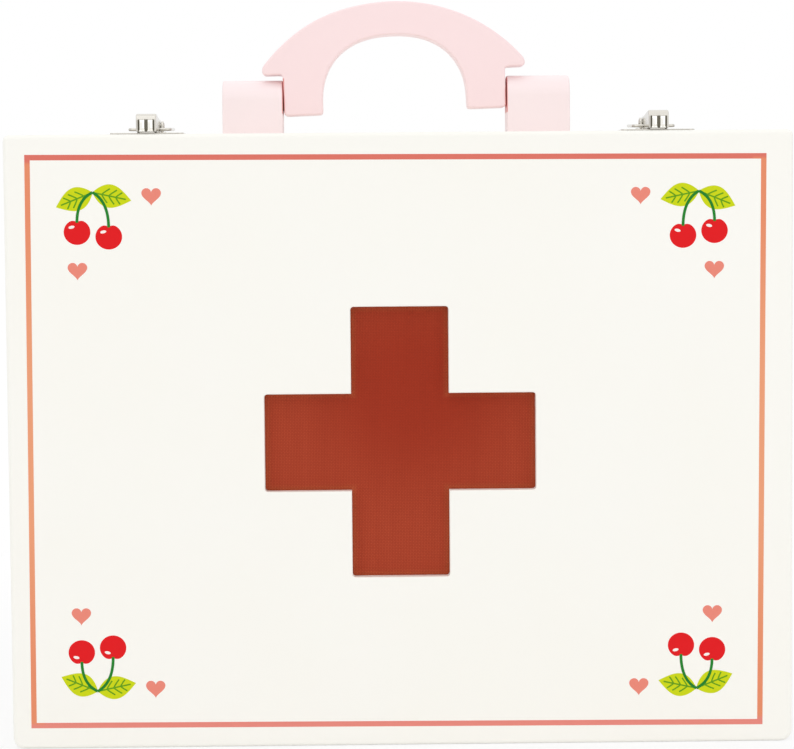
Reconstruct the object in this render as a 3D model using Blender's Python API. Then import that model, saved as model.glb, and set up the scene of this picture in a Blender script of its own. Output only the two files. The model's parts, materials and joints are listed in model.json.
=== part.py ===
"""A toy doctor's case in wood, with a cross window, a swinging grip, two toggle latches and two butt hinges.

Metres, +Z up. X runs to the right across the front panel, which faces -Y. The case stands on Z = 0, and the
origin is under its middle. The lid is the front shell and the base is the rear one. They meet at the split.
"""

import math
from dataclasses import dataclass

import bmesh
import bpy
from mathutils import Matrix, Vector

# The case: two shells of thin boards, each closed by a panel
CASE_WIDTH = 0.250
CASE_HEIGHT = 0.196
CASE_DEPTH = 0.088
LID_DEPTH = 0.030
BOARD = 0.008
PANEL = 0.004
REBATE_LIP = 0.004
CORNER_RADIUS = 0.0035
PANEL_EDGE_RADIUS = 0.0014
RIM_EASE = 0.0005
SPLIT_EDGE_RADIUS = 0.004

# Clearances and cutting allowances
SEAT_GAP = 0.0003
RUN_GAP = 0.0003
SPLIT_GAP = 0.0003
OVERRUN = 0.0015
WELD = 0.000001

# The cross window and the cloth glued behind it
CROSS_SPAN = 0.0863
CROSS_ARM = 0.031
CROSS_CORNER_RADIUS = 0.001
CROSS_EASE = 0.0004
CLOTH_MARGIN = 0.005
CLOTH_THICKNESS = 0.0006

# The handle: two posts and an arched grip that turns on two dowels
HANDLE_SHIFT = -0.0004
LEFT_POST_HEIGHT = 0.0192
RIGHT_POST_HEIGHT = 0.0203
LEFT_POST_WIDTH = 0.0203
RIGHT_POST_WIDTH = 0.0212
POST_DEPTH = 0.0136
POST_EASE = 0.0008
POST_GAP = 0.0006
GRIP_PIVOT_HEIGHT = 0.0128
GRIP_LEG_SPAN = 0.0742
GRIP_SPAN = 0.0885
GRIP_THICKNESS = 0.012
GRIP_CROWN = 0.0325
GRIP_CROWN_DEPTH = 0.0111
GRIP_ARCH_SPAN = 0.0486
GRIP_LEG_DROP = 0.0044
GRIP_LEG_STRAIGHT = 0.0034
WING_RISE = 0.0095
WING_TIP_DEPTH = 0.0023
WING_TIP_RADIUS = 0.0014
GRIP_LEG_RADIUS = 0.0016
GRIP_EDGE_RADIUS = 0.0010
DOWEL_RADIUS = 0.0025
DOWEL_EASE = 0.0004
EDGE_IN_TIP_SHARE = 0.42
ARCH_FULLNESS = 2.3
GRIP_LEAN_DEG = 1.8
DOWEL_IN_LEG_SHARE = 0.7
DOWEL_IN_POST_SHARE = 0.55
POST_SCREW_SPREAD_SHARE = 0.27

# The butt hinges along the bottom of the split
HINGE_LENGTH = 0.020
HINGE_SHEET = 0.0008
KNUCKLE_RADIUS = 0.0015
KNUCKLES = 5
HINGE_PIN_RADIUS = 0.0007
HINGE_FLOOR_GAP = 0.0002
LEAF_MARGIN = 0.0008
HINGE_PLACE_SHARE = 0.64
HINGE_SCREW_SHARE = 0.58

# The toggle latches, one at each side of the handle
LEFT_LATCH_INSET = 0.0451
RIGHT_LATCH_INSET = 0.0424
LATCH_SHEET = 0.0007
LATCH_PLATE_WIDTH = 0.0235
LATCH_PLATE_RADIUS = 0.0020
LATCH_PLATE_STRIP = 0.0020
LATCH_PLATE_SETBACK = 0.0012
LATCH_SCREW_INSET = 0.0026
LATCH_PIVOT_SETBACK = 0.0080
LATCH_PIVOT_HEIGHT = 0.0032
EAR_THICKNESS = 0.0008
LEVER_WIDTH = 0.0064
LEVER_REACH = 0.0190
LEVER_NOSE_HEIGHT = 0.0065
LEVER_NOSE_RADIUS = 0.0020
LEVER_NOSE_LENGTH = 0.0035
LEVER_SHEET = 0.0008
LEVER_PIN_RADIUS = 0.0008
RIVET_HEAD_RADIUS = 0.0013
RIVET_HEAD_DEPTH = 0.0005
FLUTE_PROUD = 0.0004
FLUTE_EASE = 0.0003
LOOP_FORWARD = 0.0050
LOOP_DROP = 0.0013
LOOP_RISE = 0.0005
LOOP_REACH = 0.0180
LOOP_WIDTH = 0.0140
LOOP_CORNER_RADIUS = 0.0016
WIRE_RADIUS = 0.0005
CATCH_LENGTH = 0.0110
CATCH_SETBACK = 0.0010
HOOK_WIDTH = 0.0080
HOOK_LENGTH = 0.0028
HOOK_LEAD_SHARE = 0.75
FLUTE_END_SHARES = ((0.6, 0.0), (0.9, 0.4), (1.0, 1.0))

# Smoothness
CORNER_STEPS = 6
EASE_STEPS = 3
ARCH_STEPS = 28
FINE_SIDES = 16
SCREW_SIDES = 10
WIRE_CORNER_STEPS = 4
LEVER_TOP_STEPS = 6

# Which way along X each hand lies, and the sizes that differ between the hands
SIDES = {"left": -1, "right": 1}
POST_WIDTHS = {"left": LEFT_POST_WIDTH, "right": RIGHT_POST_WIDTH}
POST_HEIGHTS = {"left": LEFT_POST_HEIGHT, "right": RIGHT_POST_HEIGHT}
LATCH_INSETS = {"left": LEFT_LATCH_INSET, "right": RIGHT_LATCH_INSET}

# Places worked out from the sizes
HALF_WIDTH = CASE_WIDTH / 2
FRONT_Y = -CASE_DEPTH / 2
BACK_Y = CASE_DEPTH / 2
SPLIT_Y = FRONT_Y + LID_DEPTH
MIDDLE_Z = CASE_HEIGHT / 2
HANDLE_Y = (SPLIT_Y + BACK_Y) / 2
GRIP_AXIS_Z = CASE_HEIGHT + GRIP_PIVOT_HEIGHT
POST_REACH = GRIP_LEG_SPAN / 2 + POST_GAP
HINGE_AXIS_Z = KNUCKLE_RADIUS + HINGE_FLOOR_GAP
LATCH_PIVOT_Y = SPLIT_Y - LATCH_PIVOT_SETBACK
LATCH_PIVOT_Z = CASE_HEIGHT + LATCH_PIVOT_HEIGHT
LOOP_PIVOT_Y = LATCH_PIVOT_Y - LOOP_FORWARD
LOOP_PIVOT_Z = LATCH_PIVOT_Z - LOOP_DROP
CROSSBAR_Y = LOOP_PIVOT_Y + LOOP_REACH
CROSSBAR_Z = LOOP_PIVOT_Z + LOOP_RISE
PLATE_BOTTOM_Z = CASE_HEIGHT + SEAT_GAP
PLATE_TOP_Z = PLATE_BOTTOM_Z + LATCH_SHEET
LEVER_HEEL_RADIUS = LATCH_PIVOT_Z - PLATE_TOP_Z - RUN_GAP


@dataclass(frozen=True)
class Shape:
    """A closed surface, or several, as corner points and the faces between them."""

    points: list
    faces: list


@dataclass(frozen=True)
class ScrewSize:
    """A countersunk wood screw."""

    shank_radius: float
    head_radius: float
    head_depth: float
    tip: float


POST_SCREW = ScrewSize(shank_radius=0.0015, head_radius=0.0031, head_depth=0.0019, tip=0.0022)
POST_SCREW_BITE = 0.0064
LATCH_SCREW = ScrewSize(shank_radius=0.0008, head_radius=0.0015, head_depth=0.0007, tip=0.0014)
LATCH_SCREW_LENGTH = 0.0060
HINGE_SCREW = ScrewSize(shank_radius=0.0007, head_radius=0.0014, head_depth=0.0007, tip=0.0012)
HINGE_SCREW_LENGTH = 0.0065


# Outlines, as lists of (u, v) points


def arc(centre_u, centre_v, radius, start_deg, end_deg, steps):
    """Points along an arc, both ends included."""
    turns = [math.radians(start_deg + (end_deg - start_deg) * i / steps) for i in range(steps + 1)]
    return [(centre_u + radius * math.cos(turn), centre_v + radius * math.sin(turn)) for turn in turns]


def circle(centre_u, centre_v, radius, sides):
    """A regular polygon on a circle."""
    return arc(centre_u, centre_v, radius, 0, 360, sides)[:-1]


def rectangle(low_u, high_u, low_v, high_v):
    return [(low_u, low_v), (high_u, low_v), (high_u, high_v), (low_u, high_v)]


def filleted(corners, steps=CORNER_STEPS):
    """Round each corner, given as (u, v, radius), of a closed outline with an arc that touches both sides."""
    outline = []
    for index, (u, v, radius) in enumerate(corners):
        corner = Vector((u, v))
        before = Vector(corners[index - 1][:2]) - corner
        after = Vector(corners[(index + 1) % len(corners)][:2]) - corner
        if radius == 0:
            outline.append((u, v))
            continue
        half_angle = before.angle(after) / 2
        reach = min(radius / math.tan(half_angle), before.length / 2, after.length / 2)
        radius = reach * math.tan(half_angle)
        middle = corner + (before.normalized() + after.normalized()).normalized() * radius / math.sin(half_angle)
        start = corner + before.normalized() * reach - middle
        end = corner + after.normalized() * reach - middle
        sweep = start.angle_signed(end)
        for step in range(steps + 1):
            turn = -sweep * step / steps
            swung = Matrix.Rotation(turn, 2) @ start
            outline.append(tuple(middle + swung))
    return outline


def rounded_rectangle(low_u, high_u, low_v, high_v, radius):
    return filleted([(u, v, radius) for u, v in rectangle(low_u, high_u, low_v, high_v)])


def inset(outline, distance):
    """Move an outline inwards by a distance, keeping its point count."""
    area = sum(a[0] * b[1] - b[0] * a[1] for a, b in zip(outline, outline[1:] + outline[:1]))
    side = math.copysign(1, area)
    moved_points = []
    for index, (u, v) in enumerate(outline):
        here = Vector((u, v))
        before = (here - Vector(outline[index - 1])).normalized()
        after = (Vector(outline[(index + 1) % len(outline)]) - here).normalized()
        normal_before = Vector((-before.y, before.x)) * side
        normal_after = Vector((-after.y, after.x)) * side
        shift = (normal_before + normal_after) / (1 + normal_before.dot(normal_after))
        moved_points.append(tuple(here + shift * distance))
    return moved_points


# Solids made from outlines

PLANES = {
    "XZ": lambda u, v, w: Vector((u, w, v)),
    "YZ": lambda u, v, w: Vector((w, u, v)),
    "XY": lambda u, v, w: Vector((u, v, w)),
}


def loft(sections, plane):
    """Join a stack of outlines, each with its height, into one closed solid."""
    count = len(sections[0][0])
    points = [PLANES[plane](u, v, w) for outline, w in sections for u, v in outline]
    faces = [tuple(range(count))]
    for ring in range(len(sections) - 1):
        for i in range(count):
            low = ring * count + i
            low_next = ring * count + (i + 1) % count
            faces.append((low, low_next, low_next + count, low + count))
    faces.append(tuple(range(len(points) - count, len(points))))
    return Shape(points, faces)


def prism(outline, low, high, plane):
    return loft([(outline, low), (outline, high)], plane)


def eased_prism(outline, low, high, plane, ease_low=0, ease_high=0):
    """A prism whose end edges are rounded by quarter circles."""
    sections = []
    for end, direction, ease in ((low, 1, ease_low), (high, -1, ease_high)):
        steps = EASE_STEPS if ease else 0
        turns = [math.pi / 2 * step / max(steps, 1) for step in range(steps + 1)]
        rings = [
            (inset(outline, ease * (1 - math.sin(turn))), end + direction * ease * (1 - math.cos(turn)))
            for turn in turns
        ]
        sections += rings if direction > 0 else rings[::-1]
    return loft(sections, plane)


def turned(profile, sides):
    """Turn a profile of (radius, height) about Z. It starts and ends on the axis."""
    points = []
    rings = []
    for radius, height in profile:
        ring = circle(0, 0, radius, sides) if radius else [(0, 0)]
        rings.append(range(len(points), len(points) + len(ring)))
        points += [Vector((x, y, height)) for x, y in ring]
    faces = []
    for low, high in zip(rings, rings[1:]):
        for i in range(sides):
            quad = [low[i % len(low)], low[(i + 1) % len(low)], high[(i + 1) % len(high)], high[i % len(high)]]
            faces.append(tuple(dict.fromkeys(quad)))
    return Shape(points, faces)


def moved(shape, matrix):
    return Shape([matrix @ point for point in shape.points], shape.faces)


def joined(shapes):
    """Put several separate shapes into one."""
    points = []
    faces = []
    for shape in shapes:
        faces += [tuple(index + len(points) for index in face) for face in shape.faces]
        points += shape.points
    return Shape(points, faces)


def screw_profile(screw, length, grow=0, lead=0):
    """The half outline of a screw from its head at Z = 0 to its tip, or of its bore when grown."""
    rim = screw.head_radius + grow
    shank = screw.shank_radius + grow
    profile = [(0, -lead), (rim, -lead)]
    if lead:
        profile.append((rim, 0))
    return profile + [
        (shank, screw.head_depth + grow),
        (shank, length - screw.tip + grow),
        (0, length + grow),
    ]


def screw_bores(screw, length, places):
    """The space that the screws at these places need, open above their heads."""
    bore = turned(screw_profile(screw, length, SEAT_GAP, OVERRUN), SCREW_SIDES)
    return joined([moved(bore, place) for place in places.values()])


def numbered(stem, places):
    """Name each of several places."""
    return {f"{stem}_{number}": place for number, place in enumerate(places, 1)}


# Materials


def material(name, colour, roughness, metallic=0.0):
    made = bpy.data.materials.new(name)
    made.use_nodes = True
    made.diffuse_color = (*colour, 1)
    shader = made.node_tree.nodes["Principled BSDF"]
    shader.inputs["Base Color"].default_value = (*colour, 1)
    shader.inputs["Roughness"].default_value = roughness
    shader.inputs["Metallic"].default_value = metallic
    return made


def white_lacquer():
    return material("white_lacquer", (0.93, 0.92, 0.86), 0.42)


def pink_lacquer():
    return material("pink_lacquer", (0.96, 0.72, 0.73), 0.38)


def pale_pink_lacquer():
    return material("pale_pink_lacquer", (0.97, 0.80, 0.81), 0.40)


def red_cloth():
    return material("red_cloth", (0.36, 0.045, 0.025), 0.90)


def beech():
    return material("beech", (0.63, 0.44, 0.27), 0.60)


def nickel_plate():
    return material("nickel_plate", (0.62, 0.60, 0.57), 0.18, 1.0)


def zinc_plate():
    return material("zinc_plate", (0.55, 0.55, 0.54), 0.35, 1.0)


# Objects


def mesh_object(name, shape):
    """An object with the shape's surface, its faces turned outwards."""
    surface = bmesh.new()
    corners = [surface.verts.new(point) for point in shape.points]
    for face in shape.faces:
        surface.faces.new([corners[index] for index in face])
    bmesh.ops.remove_doubles(surface, verts=surface.verts, dist=WELD)
    bmesh.ops.dissolve_degenerate(surface, edges=surface.edges, dist=WELD)
    bmesh.ops.recalc_face_normals(surface, faces=surface.faces)
    mesh = bpy.data.meshes.new(name)
    surface.to_mesh(mesh)
    surface.free()
    made = bpy.data.objects.new(name, mesh)
    bpy.context.scene.collection.objects.link(made)
    return made


def piece(name, shape, finish, parent=None, smooth=False):
    """One sub-part of the case."""
    made = mesh_object(name, shape)
    made.data.materials.append(finish)
    made.parent = parent
    if smooth:
        made.data.shade_smooth()
        made.data.set_sharp_from_angle(angle=math.radians(35))
    return made


def tool(name, shape, parent=None):
    """A helper that only shapes other pieces."""
    made = mesh_object(name, shape)
    made.parent = parent
    made.hide_render = True
    made.display_type = "WIRE"
    return made


def screws(screw, length, places, finish):
    """One screw at each named place, all of one mesh. A place is a matrix that takes Z down the shank."""
    first = None
    for name, place in places.items():
        if first is None:
            made = piece(name, turned(screw_profile(screw, length), SCREW_SIDES), finish, smooth=True)
            first = made
        else:
            made = bpy.data.objects.new(name, first.data)
            bpy.context.scene.collection.objects.link(made)
        made.matrix_world = place


def shape_with(target, helper, operation):
    modifier = target.modifiers.new(helper.name, "BOOLEAN")
    modifier.operation = operation
    modifier.object = helper


def cut(target, shape, parent=None):
    shape_with(target, tool(f"{target.name}_cut_{len(target.modifiers)}", shape, parent), "DIFFERENCE")


def fuse(target, shape, parent=None):
    shape_with(target, tool(f"{target.name}_join_{len(target.modifiers)}", shape, parent), "UNION")


def pivot(name, place, lean_deg=0):
    """An empty on a joint's axis."""
    made = bpy.data.objects.new(name, None)
    made.empty_display_size = DOWEL_RADIUS
    made.location = place
    made.rotation_euler.y = -math.radians(lean_deg)
    bpy.context.scene.collection.objects.link(made)
    return made


# The two shells


def shell_span(shell):
    """The boards' two ends along Y in the base or the lid, the split's end first."""
    if shell == "base":
        return SPLIT_Y + SPLIT_GAP / 2, BACK_Y - PANEL - SEAT_GAP
    return SPLIT_Y - SPLIT_GAP / 2, FRONT_Y + PANEL + SEAT_GAP


def board(name, outline, shell, finish):
    """A board of a shell, with its rim edges eased."""
    rim, far = shell_span(shell)
    if shell == "base":
        shape = eased_prism(outline, rim, far, "XZ", ease_low=RIM_EASE)
    else:
        shape = eased_prism(outline, far, rim, "XZ", ease_high=RIM_EASE)
    return piece(name, shape, finish)


def long_rail_outline():
    """The bottom rail seen from the front: rounded outer corners, and rebates for the side rails."""
    shoulder = HALF_WIDTH - BOARD - SEAT_GAP
    radius = min(CORNER_RADIUS, REBATE_LIP)
    return filleted(
        [
            (-HALF_WIDTH, 0, radius),
            (HALF_WIDTH, 0, radius),
            (HALF_WIDTH, REBATE_LIP, 0),
            (shoulder, REBATE_LIP, 0),
            (shoulder, BOARD, 0),
            (-shoulder, BOARD, 0),
            (-shoulder, REBATE_LIP, 0),
            (-HALF_WIDTH, REBATE_LIP, 0),
        ]
    )


def long_rails(shell, finish):
    """The bottom rail and the top rail of a shell."""
    low = long_rail_outline()
    high = [(u, CASE_HEIGHT - v) for u, v in low]
    return board(f"{shell}_bottom_rail", low, shell, finish), board(f"{shell}_top_rail", high, shell, finish)


def side_rails(shell, finish):
    low = REBATE_LIP + SEAT_GAP
    left = rectangle(-HALF_WIDTH, BOARD - HALF_WIDTH, low, CASE_HEIGHT - low)
    right = [(-u, v) for u, v in left]
    board(f"{shell}_left_rail", left, shell, finish)
    board(f"{shell}_right_rail", right, shell, finish)


def panel_outline():
    return rounded_rectangle(-HALF_WIDTH, HALF_WIDTH, 0, CASE_HEIGHT, CORNER_RADIUS)


def back_panel(finish):
    shape = eased_prism(panel_outline(), BACK_Y - PANEL, BACK_Y, "XZ", ease_high=PANEL_EDGE_RADIUS)
    return piece("back_panel", shape, finish)


def cross_outline(grow):
    """The window's cross, larger by a distance all round, with rounded arm ends."""
    span = CROSS_SPAN / 2 + grow
    arm = CROSS_ARM / 2 + grow
    quarter = [(arm, arm, 0), (arm, span, CROSS_CORNER_RADIUS), (-arm, span, CROSS_CORNER_RADIUS)]
    corners = []
    for turn in range(4):
        swing = Matrix.Rotation(turn * math.pi / 2, 2)
        for u, v, radius in quarter:
            swung = swing @ Vector((u, v))
            corners.append((swung.x, swung.y + MIDDLE_Z, radius))
    return filleted(corners)


def front_panel(finish):
    """The panel with its cross window, whose front edge is eased."""
    shape = eased_prism(panel_outline(), FRONT_Y, FRONT_Y + PANEL, "XZ", ease_low=PANEL_EDGE_RADIUS)
    made = piece("front_panel", shape, finish)
    window = loft(
        [
            (cross_outline(CROSS_EASE + OVERRUN), FRONT_Y - OVERRUN),
            (cross_outline(0), FRONT_Y + CROSS_EASE),
            (cross_outline(0), FRONT_Y + PANEL + OVERRUN),
        ],
        "XZ",
    )
    cut(made, window)
    return made


def cross_cloth(finish):
    """The sheet of cloth glued over the window from inside."""
    reach = CROSS_SPAN / 2 + CLOTH_MARGIN
    low = FRONT_Y + PANEL + SEAT_GAP
    outline = rectangle(-reach, reach, MIDDLE_Z - reach, MIDDLE_Z + reach)
    return piece("cross_cloth", prism(outline, low, low + CLOTH_THICKNESS, "XZ"), finish)


def split_edge_cutter(side):
    """Rounds the bottom rail's lower edge at the split, so that the lid can fold back. side is 1 for the base."""
    rim = SPLIT_Y + side * SPLIT_GAP / 2
    outline = [(rim - side * OVERRUN, -OVERRUN), (rim + side * SPLIT_EDGE_RADIUS, -OVERRUN)]
    rounding = arc(0, SPLIT_EDGE_RADIUS, SPLIT_EDGE_RADIUS, 270, 180, CORNER_STEPS)
    outline += [(rim + side * (SPLIT_EDGE_RADIUS + u), v) for u, v in rounding]
    outline.append((rim - side * OVERRUN, SPLIT_EDGE_RADIUS))
    return prism(outline, -HALF_WIDTH - OVERRUN, HALF_WIDTH + OVERRUN, "YZ")


# The hinges


def hinge_places():
    return {"left": -HINGE_PLACE_SHARE * HALF_WIDTH, "right": HINGE_PLACE_SHARE * HALF_WIDTH}


def knuckle_spans(own):
    """The stretches along X, from the hinge's middle, of every second knuckle. own is 0 for the base's."""
    pitch = (HINGE_LENGTH + RUN_GAP) / KNUCKLES
    starts = [-HINGE_LENGTH / 2 + pitch * index for index in range(own, KNUCKLES, 2)]
    return [(start, start + pitch - RUN_GAP) for start in starts]


def leaf_top():
    return BOARD - LEAF_MARGIN


def leaf_outline(own):
    """A leaf seen along Y: a plate with tabs that reach down to its own knuckles."""
    shoulder = HINGE_AXIS_Z + KNUCKLE_RADIUS + RUN_GAP
    outline = [(HINGE_LENGTH / 2, shoulder), (HINGE_LENGTH / 2, leaf_top())]
    outline += [(-HINGE_LENGTH / 2, leaf_top()), (-HINGE_LENGTH / 2, shoulder)]
    for start, end in knuckle_spans(own):
        outline += [(start, shoulder), (start, HINGE_AXIS_Z), (end, HINGE_AXIS_Z), (end, shoulder)]
    return list(dict.fromkeys(outline))


def hinge_screw_places(side, hand):
    """Where a leaf's screws go in, driven away from the split."""
    x = hinge_places()[hand]
    shell = "base" if side > 0 else "lid"
    height = (HINGE_AXIS_Z + KNUCKLE_RADIUS + RUN_GAP + leaf_top()) / 2
    face = SPLIT_Y + side * SPLIT_GAP / 2
    drive = Matrix.Rotation(-side * math.pi / 2, 4, "X")
    spread = HINGE_SCREW_SHARE * HINGE_LENGTH / 2
    places = [Matrix.Translation((x + shift, face, height)) @ drive for shift in (-spread, spread)]
    return numbered(f"{hand}_hinge_{shell}_screw", places)


def hinge_leaf(name, side, hand, finish):
    """One leaf, let into its bottom rail, with its knuckles round the pin. side is 1 for the base."""
    own = 0 if side > 0 else 1
    x = hinge_places()[hand]
    face = SPLIT_Y + side * SPLIT_GAP / 2
    outline = [(x + u, v) for u, v in leaf_outline(own)]
    made = piece(name, prism(outline, face, face + side * HINGE_SHEET, "XZ"), finish, smooth=True)
    for low, high in knuckle_spans(own):
        fuse(made, prism(circle(SPLIT_Y, HINGE_AXIS_Z, KNUCKLE_RADIUS, FINE_SIDES), x + low, x + high, "YZ"))
    bore = circle(SPLIT_Y, HINGE_AXIS_Z, HINGE_PIN_RADIUS + RUN_GAP, FINE_SIDES)
    reach = HINGE_LENGTH / 2 + OVERRUN
    cut(made, prism(bore, x - reach, x + reach, "YZ"))
    cut(made, screw_bores(HINGE_SCREW, HINGE_SCREW_LENGTH, hinge_screw_places(side, hand)))
    return made


def hinge_recess(side, x):
    """What is cut from a bottom rail for one leaf and for the knuckles."""
    face = SPLIT_Y + side * SPLIT_GAP / 2
    floor = face + side * (HINGE_SHEET + SEAT_GAP)
    knuckle = SPLIT_Y + side * (KNUCKLE_RADIUS + SEAT_GAP)
    over_knuckle = HINGE_AXIS_Z + KNUCKLE_RADIUS + SEAT_GAP
    top = leaf_top() + SEAT_GAP
    outside = face - side * OVERRUN
    outline = [
        (outside, -OVERRUN),
        (knuckle, -OVERRUN),
        (knuckle, over_knuckle),
        (floor, over_knuckle),
        (floor, top),
        (outside, top),
    ]
    reach = HINGE_LENGTH / 2 + SEAT_GAP
    return prism(outline, x - reach, x + reach, "YZ")


def hinges(finish, screw_finish, base_rail, lid_rail):
    """Both hinges, and their recesses in the two bottom rails."""
    for side, shell, rail in ((1, "base", base_rail), (-1, "lid", lid_rail)):
        cut(rail, split_edge_cutter(side))
        cut(rail, joined([hinge_recess(side, x) for x in hinge_places().values()]))
        places = hinge_screw_places(side, "left") | hinge_screw_places(side, "right")
        cut(rail, screw_bores(HINGE_SCREW, HINGE_SCREW_LENGTH, places))
        screws(HINGE_SCREW, HINGE_SCREW_LENGTH, places, screw_finish)
        for hand in hinge_places():
            hinge_leaf(f"{hand}_hinge_{shell}_leaf", side, hand, finish)
    for hand, x in hinge_places().items():
        outline = circle(SPLIT_Y, HINGE_AXIS_Z, HINGE_PIN_RADIUS, FINE_SIDES)
        pin = prism(outline, x - HINGE_LENGTH / 2, x + HINGE_LENGTH / 2, "YZ")
        piece(f"{hand}_hinge_pin", pin, screw_finish, smooth=True)


# The handle


def grip_outline():
    """The grip seen from the front, about the middle of its pivot axis.

    The outside is one arc through both wing tips and the crown. The inside is a full arch, a superellipse on
    short straight legs.
    """
    half_span = GRIP_SPAN / 2
    tip_top = WING_RISE + WING_TIP_DEPTH
    sagitta = GRIP_CROWN - tip_top
    radius = (sagitta**2 + half_span**2) / (2 * sagitta)
    reach_deg = math.degrees(math.asin(min(half_span / radius, 1)))
    tip_radius = min(WING_TIP_RADIUS, WING_TIP_DEPTH / 2)
    outside = arc(0, GRIP_CROWN - radius, radius, 90 - reach_deg, 90 + reach_deg, ARCH_STEPS)

    leg = GRIP_LEG_SPAN / 2
    arch = GRIP_ARCH_SPAN / 2
    spring = GRIP_LEG_STRAIGHT - GRIP_LEG_DROP
    arch_rise = GRIP_CROWN - GRIP_CROWN_DEPTH - spring
    inside = []
    for step in range(ARCH_STEPS + 1):
        turn = math.pi * step / ARCH_STEPS
        across = math.copysign(abs(math.cos(turn)) ** (2 / ARCH_FULLNESS), math.cos(turn))
        inside.append((-arch * across, spring + arch_rise * math.sin(turn) ** (2 / ARCH_FULLNESS), 0))

    corners = [(leg, -GRIP_LEG_DROP, GRIP_LEG_RADIUS), (leg, WING_RISE, GRIP_LEG_RADIUS)]
    corners += [(half_span, WING_RISE, tip_radius)]
    corners += [(u, v, tip_radius if index in (0, ARCH_STEPS) else 0) for index, (u, v) in enumerate(outside)]
    corners += [(-half_span, WING_RISE, tip_radius), (-leg, WING_RISE, GRIP_LEG_RADIUS)]
    corners += [(-leg, -GRIP_LEG_DROP, GRIP_LEG_RADIUS), (-arch, -GRIP_LEG_DROP, GRIP_LEG_RADIUS)]
    corners += inside
    corners += [(arch, -GRIP_LEG_DROP, GRIP_LEG_RADIUS)]
    return filleted(corners, EASE_STEPS)


def dowel_span(hand, grow=0):
    """Both ends of a dowel along the grip's axis, one inside a leg and one inside a post, or of its bore when grown."""
    leg_width = (GRIP_LEG_SPAN - GRIP_ARCH_SPAN) / 2
    start = GRIP_LEG_SPAN / 2 - DOWEL_IN_LEG_SHARE * leg_width - grow
    end = POST_REACH + DOWEL_IN_POST_SHARE * POST_WIDTHS[hand] + grow
    return sorted((SIDES[hand] * start, SIDES[hand] * end))


def dowel_bores():
    """The blind bores for both dowels, each drilled through from a leg into its post."""
    outline = circle(0, 0, DOWEL_RADIUS + RUN_GAP, FINE_SIDES)
    return joined([prism(outline, *dowel_span(hand, RUN_GAP), "YZ") for hand in SIDES])


def grip(finish, axis):
    half = GRIP_THICKNESS / 2
    outline = grip_outline()
    ease = min(GRIP_EDGE_RADIUS, EDGE_IN_TIP_SHARE * WING_TIP_DEPTH)
    shape = eased_prism(outline, -half, half, "XZ", ease_low=ease, ease_high=ease)
    made = piece("grip", shape, finish, axis, smooth=True)
    cut(made, dowel_bores(), axis)
    return made


def grip_dowels(finish, axis):
    outline = circle(0, 0, DOWEL_RADIUS, FINE_SIDES)
    for hand in SIDES:
        shape = eased_prism(outline, *dowel_span(hand), "YZ", ease_low=DOWEL_EASE, ease_high=DOWEL_EASE)
        piece(f"{hand}_grip_dowel", shape, finish, axis, smooth=True)


def post_ends(hand):
    """The post's two faces along X."""
    side = SIDES[hand]
    return sorted((HANDLE_SHIFT + side * POST_REACH, HANDLE_SHIFT + side * (POST_REACH + POST_WIDTHS[hand])))


def post_screw_places(hand):
    """Where a post's screws go in, driven up through the top rail."""
    middle = sum(post_ends(hand)) / 2
    spread = POST_SCREW_SPREAD_SHARE * POST_WIDTHS[hand]
    underside = CASE_HEIGHT - BOARD
    places = [Matrix.Translation((middle + shift, HANDLE_Y, underside)) for shift in (-spread, spread)]
    return numbered(f"{hand}_post_screw", places)


def post(hand, finish, axis):
    """A block with a half-round top, bored for the dowel and for its screws."""
    half = POST_DEPTH / 2
    foot = CASE_HEIGHT + SEAT_GAP
    outline = [(HANDLE_Y - half, foot), (HANDLE_Y + half, foot)]
    outline += arc(HANDLE_Y, CASE_HEIGHT + POST_HEIGHTS[hand] - half, half, 0, 180, 2 * CORNER_STEPS)
    shape = eased_prism(outline, *post_ends(hand), "YZ", ease_low=POST_EASE, ease_high=POST_EASE)
    made = piece(f"{hand}_post", shape, finish, smooth=True)
    cut(made, dowel_bores(), axis)
    cut(made, screw_bores(POST_SCREW, post_screw_length(), post_screw_places(hand)))
    return made


def post_screw_length():
    return BOARD + SEAT_GAP + POST_SCREW_BITE


def handle(grip_finish, post_finish, dowel_finish, screw_finish, top_rail):
    """The posts on the base's top rail, and the grip between them on its leaning axis."""
    axis = pivot("grip_axis", (HANDLE_SHIFT, HANDLE_Y, GRIP_AXIS_Z), GRIP_LEAN_DEG)
    for hand in SIDES:
        post(hand, post_finish, axis)
    grip(grip_finish, axis)
    grip_dowels(dowel_finish, axis)
    places = post_screw_places("left") | post_screw_places("right")
    screws(POST_SCREW, post_screw_length(), places, screw_finish)
    cut(top_rail, screw_bores(POST_SCREW, post_screw_length(), places))


# The latches


def latch_places():
    """The middle of each latch along X."""
    return {hand: side * (HALF_WIDTH - LATCH_INSETS[hand]) for hand, side in SIDES.items()}


def plate_screw_places(stem, hand, ys):
    """Where a plate's screws go in, driven down into the top rail."""
    x = latch_places()[hand]
    spread = LATCH_PLATE_WIDTH / 2 - LATCH_SCREW_INSET
    down = Matrix.Rotation(math.pi, 4, "X")
    places = [Matrix.Translation((x + shift, y, PLATE_TOP_Z)) @ down for shift in (-spread, spread) for y in ys]
    return numbered(f"{hand}_{stem}_screw", places)


def window_ends():
    """The Y ends of the slot in a latch base, which the lever's cheeks dip into."""
    front = LATCH_PIVOT_Y - LEVER_REACH + LEVER_NOSE_LENGTH - RUN_GAP
    return front, LATCH_PIVOT_Y + LEVER_HEEL_RADIUS + RUN_GAP


def latch_base_ends():
    return window_ends()[0] - LATCH_PLATE_STRIP, SPLIT_Y - LATCH_PLATE_SETBACK


def latch_base_screw_places(hand):
    front, rear = latch_base_ends()
    return plate_screw_places("latch_base", hand, (front + LATCH_SCREW_INSET, rear - LATCH_SCREW_INSET))


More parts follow.
